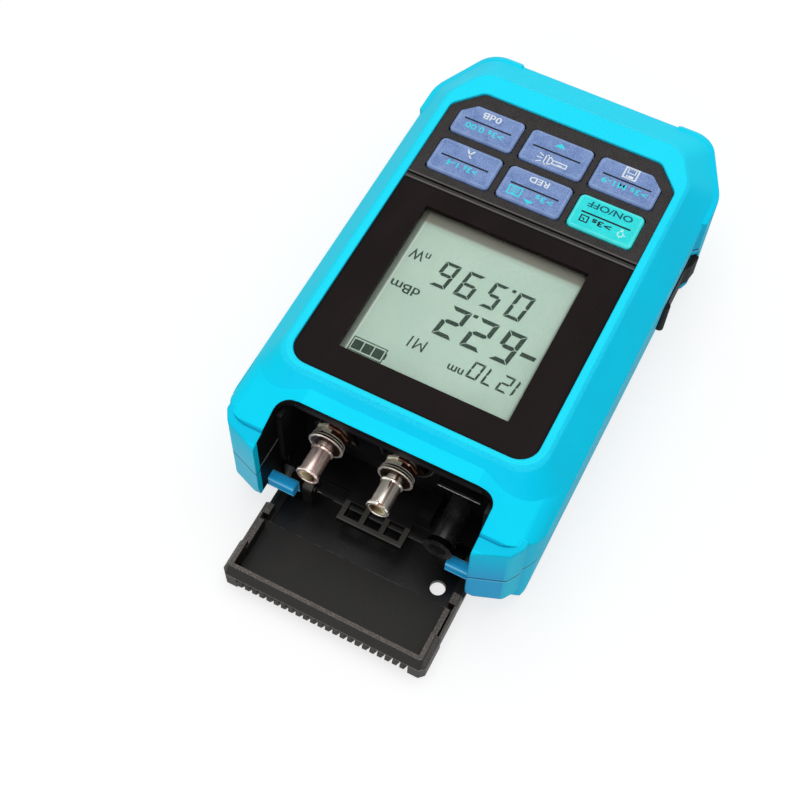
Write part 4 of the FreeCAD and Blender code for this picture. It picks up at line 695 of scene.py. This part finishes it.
# %% Printed marks
PRINT_DEPTH = 0.012


def stamp(shape, outline, centre, level):
    """Adds one flat mark: an outline in reading directions, made into a thin prism."""
    corners = [shape.verts.new((centre[0] - u, centre[1] - v, level)) for u, v in outline]
    face = shape.faces.new(corners)
    grown = bmesh.ops.extrude_face_region(shape, geom=[face])
    risen = [part for part in grown["geom"] if isinstance(part, bmesh.types.BMVert)]
    bmesh.ops.translate(shape, vec=(0, 0, PRINT_DEPTH), verts=risen)


def bar(left, right, low, high):
    """A rectangle as an outline."""
    return [(left, low), (right, low), (right, high), (left, high)]


def stroke(start, end, width):
    """A straight pen stroke as an outline."""
    start, end = Vector(start), Vector(end)
    along = end - start
    side = Vector((-along.y, along.x)).normalized() * width / 2
    return [tuple(corner) for corner in (start - side, end - side, end + side, start + side)]


def frame_strokes(left, right, low, high, width):
    """The four bars of a hollow rectangle."""
    return [bar(left, right, low, low + width), bar(left, right, high - width, high),
            bar(left, left + width, low + width, high - width),
            bar(right - width, right, low + width, high - width)]


def arc_strokes(centre, radius, first, last, width, steps=12):
    """A bent pen stroke, from one angle to another in degrees."""
    points = []
    for step in range(steps + 1):
        angle = math.radians(first + (last - first) * step / steps)
        points.append((centre[0] + radius * math.cos(angle), centre[1] + radius * math.sin(angle)))
    return [stroke(start, end, width) for start, end in zip(points, points[1:])]


def marks(name, outlines, centre, level, ink, body):
    """One piece from any number of flat outlines."""
    shape = bmesh.new()
    for outline in outlines:
        stamp(shape, outline, centre, level)
    piece_from(name, shape, ink["material"], body)


def lettering(name, words, left, right, low, high, centre, level, ink, body, weight):
    """Text fitted to a box in reading directions round a centre, its strokes fattened by weight."""
    data = bpy.data.curves.new(name, "FONT")
    data.body = words
    data.size = 3 * MM
    data.offset = weight * MM
    data.resolution_u = 3
    data.extrude = PRINT_DEPTH * MM / 2
    piece = new_object(name, data)
    bpy.context.view_layer.update()
    least, most = Vector(piece.bound_box[0]), Vector(piece.bound_box[6])
    wide = (right - left) * MM / (most.x - least.x)
    tall = (high - low) * MM / (most.y - least.y)
    piece.scale = (wide, tall, 1)
    piece.rotation_euler = (0, 0, math.pi)
    piece.location = ((centre[0] - left) * MM + least.x * wide,
                      (centre[1] - low) * MM + least.y * tall,
                      (level + PRINT_DEPTH / 2) * MM)
    belong(piece, ink["material"], body)


def make_ink(name, slot, red, green, blue, wear=0.25):
    """Printing ink: a little thin in places, so the tone under it is uneven."""
    finish = Finish(name)
    fine = finish.grain(0.35, 2, seed=6.0)
    finish.colour = tint(red, green, blue)
    finish.coat(finish.ramp(fine, 0.45, 0.75) * wear, tint(red * 0.8, green * 0.8, blue * 0.8))
    material = finish.set(Roughness=0.42 + 0.2 * fine, Specular_IOR_Level=0.2)
    return {"material": material, "slot": slot}


WHITE_INK = make_ink("white_key_ink", "lcd_glass", 222, 230, 236)
CYAN_INK = make_ink("cyan_key_ink", "key_aqua", 58, 218, 234)
DARK_INK = make_ink("dark_key_ink", "keypad_dark", 20, 24, 32)
TEAL_INK = make_ink("dark_teal_key_ink", "key_slate", 10, 92, 108)
PALE_INK = make_ink("pale_aqua_key_ink", "lcd_glass", 196, 250, 240)
FIGURE_INK = make_ink("display_figure", "frame_dark", 46, 66, 56, 0.35)
INKS = (WHITE_INK, CYAN_INK, DARK_INK, TEAL_INK, PALE_INK, FIGURE_INK)
print("inks:", [ink["material"].name for ink in INKS])

# %% [markdown]
# The display shows three readings. Real figures are seven segments with mitred ends and a slant.
# A text font would have the wrong shape, so each figure is drawn segment by segment.
# The readings are a wavelength, a level and a power: plain numbers with their units.

# %% Seven-segment figures
SLANT = 0.14
ONE_WIDTH = 2.6
SEGMENTS = {"0": "abcdef", "1": "bc", "2": "abged", "5": "afgcd", "6": "afgcde", "7": "abc",
            "9": "abcdfg"}
FIGURE_LEVEL = GLASS_TOP + 0.004


def slanted(points, foot):
    return [(u + SLANT * (v - foot), v) for u, v in points]


def figure(left, right, low, high, pen, character):
    """Outlines of one seven-segment figure that fits the box after its slant."""
    right -= SLANT * (high - low)
    middle = (low + high) / 2
    gap = pen * 0.1
    half = pen / 2
    start, end = left + gap, right - gap
    foot, top = low + gap, high - gap
    spots = {
        "a": [(start, high), (start + pen, high - pen), (end - pen, high - pen), (end, high)],
        "g": [(start + half, middle), (start + pen, middle - half), (end - pen, middle - half),
              (end - half, middle), (end - pen, middle + half), (start + pen, middle + half)],
        "f": [(left, middle + gap), (left + half, middle + gap), (left + pen, middle + half + gap),
              (left + pen, top - pen), (left, top)],
        "e": [(left, middle - gap), (left, foot), (left + pen, foot + pen),
              (left + pen, middle - half - gap), (left + half, middle - gap)]}
    spots["b"] = [(left + right - u, v) for u, v in spots["f"]]
    spots["c"] = [(left + right - u, v) for u, v in spots["e"]]
    spots["d"] = [(u, low + high - v) for u, v in spots["a"]]
    return [slanted(spots[letter], low) for letter in SEGMENTS[character]]


def on_glass(name, outlines):
    """Marks on the glass."""
    marks(name, outlines, (0, 0), FIGURE_LEVEL, FIGURE_INK, "case")


def reading(name, figures, low, high, pen, points=()):
    """A row of figures, each (character, left X, right X), and points, each (left, right, top)."""
    outlines = []
    for character, left, right in figures:
        if character == "1":
            left = right + ONE_WIDTH
        outlines += figure(-left, -right, -high, -low, pen, character)
    for left, right, top in points:
        outlines.append(slanted(bar(-left, -right, -high, -top), -high))
    on_glass(name, outlines)


reading("figures_wavelength", [("1", 17.3, 16.0), ("2", 15.8, 12.8), ("7", 12.4, 9.6), ("0", 9.3, 6.3)],
        -26.7, -22.5, 0.48)
reading("figures_level", [("6", 13.75, 8.55), ("2", 7.6, 2.0), ("2", 1.35, -4.2)],
        -20.6, -12.5, 1.0, [(2.75, 1.75, -13.3)])
on_glass("figures_minus", [slanted(bar(-17.8, -14.6, 16.2, 17.25), 12.5)])
reading("figures_power", [("0", 11.4, 6.8), ("5", 5.5, 1.3), ("9", 0.0, -4.6), ("6", -5.5, -10.0)],
        -10.1, -3.2, 0.8, [(7.0, 6.2, -4.0)])
print("figure outlines follow a slant of", SLANT)

# %% [markdown]
# Round the figures stand small units, a memory label and a battery symbol with three full cells.

# %% Units and battery symbol
def display_words(name, words, left, right, near, far, weight=0.04):
    """Words on the glass: left and right are X, near and far are Y, as one reads them."""
    lettering(name, words, -left, -right, -far, -near, (0, 0), FIGURE_LEVEL, FIGURE_INK,
              "case", weight)


display_words("unit_wavelength", "nm", 5.7, 2.3, -26.8, -25.4, 0.06)
display_words("unit_level", "dBm", -10.5, -17.1, -14.6, -12.3)
display_words("unit_power_n", "n", -12.6, -13.7, -4.6, -3.2)
display_words("unit_power_w", "W", -13.8, -16.9, -6.0, -3.2)
label = [stroke((3.7, 23.0), (3.9, 25.8), 0.34), stroke((3.9, 25.7), (4.75, 23.9), 0.3),
         stroke((4.75, 23.9), (5.85, 25.7), 0.3), stroke((5.65, 23.0), (5.85, 25.8), 0.34),
         stroke((6.85, 23.0), (7.1, 25.8), 0.36)]
on_glass("memory_label", label)
battery = frame_strokes(9.75, 17.4, 28.4, 31.9, 0.24) + [bar(9.45, 9.75, 29.4, 30.9)]
battery += [bar(left, left + 2.05, 29.0, 31.3) for left in (10.25, 12.55, 14.85)]
on_glass("battery_symbol", battery)
print("words and battery symbol on the glass at", round(FIGURE_LEVEL, 3))

# %% [markdown]
# Every key is printed with a divider and two legends, one for a press and one for a long press.
# The words are plain: on and off, a relative zero, memory places, a held press of three seconds.
# Pictures say the rest: a torch, a disk, arrows, a page, a lamp and a clock.

# %% Key legends
KEY_LEVEL = low_high("key_power")[1].z
KEY_NAMES = ("key_power", "key_laser", "key_wavelength", "key_reference", "key_torch", "key_save")
KEY_PLACES = {key: middle(key) for key in KEY_NAMES}
for key, spot in KEY_PLACES.items():
    print(key, "middle", [round(value, 2) for value in spot])


def key_marks(key, title, outlines, ink):
    """Flat marks on a key. Their v runs up the page, so it is minus Y."""
    marks(key + "_" + title, outlines, KEY_PLACES[key], KEY_LEVEL, ink, key)


def key_words(key, title, words, left, right, near, far, ink, weight=0.04):
    """Words on a key, from left to right X offset and from near to far Y offset."""
    lettering(key + "_" + title, words, -left, -right, -far, -near, KEY_PLACES[key], KEY_LEVEL,
              ink, key, weight)


for key, spot in KEY_PLACES.items():
    lift = 0.1 if spot.y > sum(KEY_ROWS) / 2 else 0.0
    key_marks(key, "divider", [bar(-5.6, 5.6, -0.22 - lift, 0.22 - lift)], DARK_INK)

key_words("key_power", "on_off", "ON/OFF", 5.1, -5.1, 1.7, 3.4, TEAL_INK, 0.07)
key_words("key_power", "hold", ">3s", 1.8, -2.6, -2.25, -0.75, DARK_INK, 0.09)
key_words("key_laser", "word", "RED", 2.2, -2.3, 1.9, 3.5, WHITE_INK)
key_words("key_laser", "hold", ">3s", 4.9, 0.8, -2.15, -0.6, CYAN_INK)
key_words("key_wavelength", "hold", ">3s 1-4", 3.6, -3.6, -2.25, -0.65, CYAN_INK)
key_words("key_save", "hold", ">3s M1-9", 5.3, -5.2, -2.3, -0.75, CYAN_INK)
key_words("key_reference", "hold", ">3s 0.00", 4.4, -4.6, -2.4, -0.75, CYAN_INK)
key_words("key_reference", "word", "0dB", 2.1, -2.3, 1.7, 3.5, WHITE_INK)
print("legends printed on", len(KEY_PLACES), "keys")

# %% [markdown]
# The pictures are pen strokes of even width, so bars, strokes and bent strokes are enough.
# The Greek lambda is two strokes with a small curl at two ends; it stands for wavelength.

# %% Key pictures
key_marks("key_wavelength", "lambda", [stroke((-0.75, -3.75), (0.1, -2.35), 0.34),
                                       stroke((-0.35, -1.75), (0.75, -3.5), 0.36),
                                       stroke((-0.75, -1.7), (-0.3, -1.72), 0.3),
                                       stroke((0.66, -3.55), (1.0, -3.6), 0.28)], WHITE_INK)
key_marks("key_laser", "up", [[(-1.2, 2.9), (1.25, 2.9), (0.02, 3.95)]], CYAN_INK)
key_marks("key_torch", "down", [[(-1.3, -1.95), (0.02, -3.2), (1.35, -1.95)]], CYAN_INK)
box = frame_strokes(2.2, 5.4, 0.55, 3.15, 0.3)
box += [bar(2.9, 4.7, level, level + 0.2) for level in (1.1, 1.6, 2.1)] + [bar(3.4, 4.2, 2.5, 2.85)]
key_marks("key_laser", "box", box, CYAN_INK)
disk = frame_strokes(-1.6, 1.65, -4.25, -0.95, 0.34)
disk += frame_strokes(-0.95, 1.0, -4.0, -2.55, 0.22)
disk += [bar(-0.8, 0.35, -2.0, -1.2), bar(0.55, 0.85, -2.0, -1.2)]
key_marks("key_save", "disk", disk, WHITE_INK)
torch = frame_strokes(-3.5, 0.05, 1.85, 3.1, 0.28)
torch += [stroke((0.0, 3.0), (0.85, 3.75), 0.28), stroke((0.0, 1.95), (0.85, 1.15), 0.28),
          stroke((0.85, 3.8), (0.85, 1.05), 0.28), stroke((1.65, 3.85), (1.65, 1.0), 0.26),
          stroke((0.85, 3.72), (1.75, 3.72), 0.24), stroke((0.85, 1.15), (1.75, 1.15), 0.24),
          stroke((2.3, 2.45), (3.6, 2.45), 0.24), stroke((2.25, 3.2), (3.35, 3.75), 0.24),
          stroke((2.25, 1.7), (3.35, 1.15), 0.24), bar(-2.4, -1.3, 2.6, 2.8)]
key_marks("key_torch", "torch", torch, WHITE_INK)
clock = frame_strokes(3.3, 5.25, 0.75, 2.65, 0.3)
clock += [bar(4.15, 4.4, 1.6, 2.25), bar(4.3, 4.85, 1.5, 1.72)]
key_marks("key_power", "clock", clock, DARK_INK)
bulb = arc_strokes((-4.1, 1.95), 0.62, -50, 230, 0.26)
bulb += [bar(-4.45, -3.75, 0.95, 1.2), bar(-4.4, -3.8, 0.6, 0.8)]
bulb += [stroke((-4.1, 2.75), (-4.1, 3.0), 0.2), stroke((-4.95, 2.0), (-5.2, 2.0), 0.2)]
key_marks("key_power", "bulb", bulb, PALE_INK)
print("pictures on keys: lambda, arrows, box, disk, torch, clock, bulb")

# %% [markdown]
# Each port has a sleeve with a bead at its mouth, three thin washers, and collars with flat sides.
# They are rings round the port's axis, so each is one outline turned round it. The collars are
# turned with few sides, so every flat catches the light on its own.

# %% Sleeves, washers and collars on the ports
SLEEVE_HOLE = 1.85
BEAD = ((2.0, 0.02), (2.35, -0.12), (2.56, 0.06), (2.6, 0.3), (2.45, 0.5), (2.24, 0.58), (2.2, 0.9))
SLEEVE_FOOT = ((2.2, -49.6), (2.4, -49.45), (2.52, -49.35), (2.52, -49.1), (2.3, -49.0))
SLEEVE_END_Y = -48.95
WASHERS = ((-47.85, 3.95), (-47.2, 3.8), (-46.6, 3.75))
COLLARS = ((-47.6, 2.2, 2.9, 9), (-46.35, 3.3, 3.55, 10), (-45.45, 3.35, 3.75, 8))

for port, spot in (("laser", LASER_PORT), ("meter", METER_PORT)):
    x, z = spot.x, spot.z
    mouth = low_high(port + "_adapter")[0].y
    print(port, "axis at X", round(x, 2), "Z", round(z, 2), "mouth at Y", round(mouth, 2))

    shape = bmesh.new()
    bead = [(radius, mouth + back) for radius, back in BEAD]
    hole = [(SLEEVE_HOLE, SLEEVE_END_Y), (SLEEVE_HOLE, mouth + BEAD[-1][1])]
    lathe(shape, bead + list(SLEEVE_FOOT) + hole, x, z)
    piece_from("sleeve_" + port, shape, NICKEL, "case")

    shape = bmesh.new()
    for start, outer in WASHERS:
        lathe(shape, [(1.9, start), (outer - 0.08, start), (outer, start + 0.04), (outer, start + 0.1),
                      (outer - 0.08, start + 0.14), (1.9, start + 0.14)], x, z)
    piece_from("washers_" + port, shape, WASHER_METAL, "case", 40)

    shape = bmesh.new()
    for start, inner, outer, sides in COLLARS:
        lathe(shape, [(SLEEVE_HOLE, start), (inner, start), (outer, start + (outer - inner) * 0.85),
                      (outer, start + 0.8), (SLEEVE_HOLE, start + 0.8)], x, z, sides, turn=0.2)
    piece_from("collar_" + port, shape, LIT_AND_SHADED_METAL, "case", 5)

print("per port: one sleeve,", len(WASHERS), "washers,", len(COLLARS), "collars")

# %% [markdown]
# The torch has a reflector behind its mouth: a thin turned cone, open at the back for the lamp.
# Its near-black colour is painted shade for the dark mouth.

# %% Torch reflector
REFLECTOR = ((3.2, 0.12), (3.24, 0.2), (2.6, 1.75), (1.88, 2.55), (1.86, 2.35), (2.5, 1.6))
TORCH = middle("torch_barrel")
torch_mouth = low_high("torch_barrel")[0].y
shape = bmesh.new()
lathe(shape, [(radius, torch_mouth + depth) for radius, depth in REFLECTOR], TORCH.x, TORCH.z)
piece_from("torch_reflector", shape, SHADED_REFLECTOR, "case")
print("torch mouth at Y", round(torch_mouth, 2))

# %% [markdown]
# Screw heads are domed discs with a cross cut in them. The cross is cut by leaving it out of the
# disc's top, which is filled between the rim and the cross; walls lead down to a small floor.
# Four hold the case, deep in the recesses of the back; a small one holds the port panel.

# %% Cross-headed screws
HEAD_SIDES = 24
RECESS_Z = 3.39


def cross_points(reach, width):
    """The twelve corners of a cross, in order."""
    quarter = [(reach, -width), (reach, width), (width, width)]
    points = []
    for turn in range(4):
        c, s = round(math.cos(turn * math.pi / 2)), round(math.sin(turn * math.pi / 2))
        points += [(u * c - v * s, u * s + v * c) for u, v in quarter]
    return points


def screw_head(shape, centre, out, radius, height):
    """A screw head whose top looks along the direction out."""
    out = Vector(out)
    side = Vector((1, 0, 0))
    up = out.cross(side)
    centre = Vector(centre)

    def spot(u, v, rise):
        return shape.verts.new(centre + side * u + up * v + out * rise)

    def circle(reach, rise):
        angles = [2 * math.pi * step / HEAD_SIDES for step in range(HEAD_SIDES)]
        return [spot(reach * math.cos(a), reach * math.sin(a), rise) for a in angles]

    foot = circle(radius, 0)
    shoulder = circle(radius, height * 0.55)
    top = circle(0.8 * radius, height)
    for ring, after in ((foot, shoulder), (shoulder, top)):
        for step in range(HEAD_SIDES):
            shape.faces.new((ring[step], ring[step - 1], after[step - 1], after[step]))
    corners = cross_points(radius * 0.58, radius * 0.13)
    cross = [spot(u, v, height) for u, v in corners]
    pit = [spot(u * 0.8, v * 0.8, height * 0.3) for u, v in corners]
    edges = [shape.edges.new((cross[step - 1], cross[step])) for step in range(len(cross))]
    edges += [shape.edges.get((top[step - 1], top[step])) for step in range(HEAD_SIDES)]
    bmesh.ops.triangle_fill(shape, use_beauty=True, edges=edges)
    for face in [face for face in shape.faces if all(corner in cross for corner in face.verts)]:
        shape.faces.remove(face)
    for step in range(len(cross)):
        shape.faces.new((cross[step - 1], cross[step], pit[step], pit[step - 1]))
    shape.faces.new(pit)
    shape.faces.new(foot)


SCREWS = {"screw_near_left": (28, -33), "screw_near_right": (-28, -33),
          "screw_far_left": (27.9, 45.5), "screw_far_right": (-27.9, 45.5)}
for name, (x, y) in SCREWS.items():
    shape = bmesh.new()
    screw_head(shape, (x, y, RECESS_Z), (0, 0, -1), radius=2.1, height=1.3)
    piece_from(name, shape, STEEL, "case", 25)

spot = middle("port_panel_screw")
spot.y = low_high("port_panel_screw")[0].y
shape = bmesh.new()
screw_head(shape, spot, (0, -1, 0), radius=1.4, height=0.5)
piece_from("panel_screw_head", shape, SHADED_NICKEL, "case", 25)
print("screw heads:", len(SCREWS) + 1)

# %% [markdown]
# A painted highlight lies along the ledge above the torch: a slim white block with rounded edges.
# Beside its hinge the dust cover has an open corner, and behind it a slit. Thin black lips close
# both. The corner lips turn with the cover, the slit's lip stays put.

# %% Ledge strip and hinge lips
LIP_LOW_Z, LIP_HIGH_Z = 0.35, 0.8


def slim_block(name, low, high, rounding, material, body):
    """A block between two corners, its edges rounded."""
    low, high = Vector(low), Vector(high)
    shape = bmesh.new()
    bmesh.ops.create_cube(shape, size=1)
    bmesh.ops.scale(shape, vec=high - low, verts=shape.verts)
    bmesh.ops.translate(shape, vec=(low + high) / 2, verts=shape.verts)
    bmesh.ops.bevel(shape, geom=shape.edges[:], offset=rounding, segments=2, affect="EDGES")
    piece_from(name, shape, material, body)
    print(name, "of", [round(side, 2) for side in high - low], "mm")


# Painted highlight: a white block that stands for light along the ledge's edge.
slim_block("ledge_highlight_strip", (10.4, -45.685, 22.01), (19.7, -45.595, 22.19), 0.03,
           HIGHLIGHT_STRIP_METAL, "case")
for side, left, right in (("right", 17.2, 23.0), ("left", -23.0, -17.2)):
    slim_block("hinge_lip_" + side, (left, -53.4, LIP_LOW_Z), (right, -50.3, LIP_HIGH_Z), 0.08,
               COVER_BLACK, "cover")
slim_block("slit_lip", (-17.4, -49.7, LIP_LOW_Z), (-11.5, -49.25, LIP_HIGH_Z), 0.08,
           COVER_BLACK, "case")

# %% [markdown]
# The table is pale grey. It also glows where it is seen, straight, mirrored or through glass. That
# lifts it to white and leaves the meter's own shadow; a paler table would light the case from below.

# %% Floor
TABLE_REACH = 3
TABLE_DROP = 0.0002


def pale_table():
    finish = Finish("pale_table")
    cloud = finish.grain(60, 2)
    seen = (finish.node("LightPath", out="Is Camera Ray")
            | finish.node("LightPath", out="Is Glossy Ray")
            | finish.node("LightPath", out="Is Transmission Ray"))
    finish.colour = finish.mix(cloud, tint(150, 150, 150), tint(154, 154, 154))
    glow = finish.mix(seen, (0, 0, 0, 1), (0.7, 0.7, 0.7, 1))
    return finish.set(Roughness=0.7 + 0.1 * cloud, Specular_IOR_Level=0.1, Emission_Strength=1.0,
                      Emission_Color=glow)


shape = bmesh.new()
bmesh.ops.create_grid(shape, x_segments=1, y_segments=1, size=TABLE_REACH)
bmesh.ops.translate(shape, vec=(0, 0, -TABLE_DROP), verts=shape.verts)
table_mesh = bpy.data.meshes.new("floor")
shape.to_mesh(table_mesh)
shape.free()
floor = new_object("floor", table_mesh)
table_mesh.materials.append(pale_table())
print("floor", tuple(round(side, 2) for side in floor.dimensions))

# %% [markdown]
# An even sky does most of the lighting, as a light tent does; seen straight it is plain white. A
# wide soft lamp stands above, a little behind the meter, so upper faces come out at their written
# colour and front faces darker. A weaker one in front lifts the port end.

# %% Sky and lamps
SKY_STRENGTH = 0.62
world = bpy.data.worlds.new("sky")
bpy.context.scene.world = world
world.use_nodes = True
sky = world.node_tree
paths = sky.nodes.new("ShaderNodeLightPath")
direct = sky.nodes.new("ShaderNodeMath")
direct.operation = "MAXIMUM"
sky.links.new(paths.outputs["Is Camera Ray"], direct.inputs[0])
sky.links.new(paths.outputs["Is Transmission Ray"], direct.inputs[1])
level = sky.nodes.new("ShaderNodeMapRange")
level.inputs["To Min"].default_value = SKY_STRENGTH
level.inputs["To Max"].default_value = 1.0
sky.links.new(direct.outputs[0], level.inputs["Value"])
sky.links.new(level.outputs[0], sky.nodes["Background"].inputs["Strength"])
sky.nodes["Background"].inputs["Color"].default_value = (1, 1, 1, 1)


def soft_lamp(name, place, size, watts):
    data = bpy.data.lights.new(name, "AREA")
    data.size = size
    data.energy = watts
    lamp = new_object(name, data)
    lamp.location = place
    lamp.rotation_euler = (-Vector(place)).to_track_quat("-Z", "Y").to_euler()
    print(name, "of", watts, "W at", place)


soft_lamp("lamp_above", (0.0, 0.15, 0.9), size=0.8, watts=3.5)
soft_lamp("lamp_front", (0.1, -0.9, 0.32), size=0.6, watts=1.8)
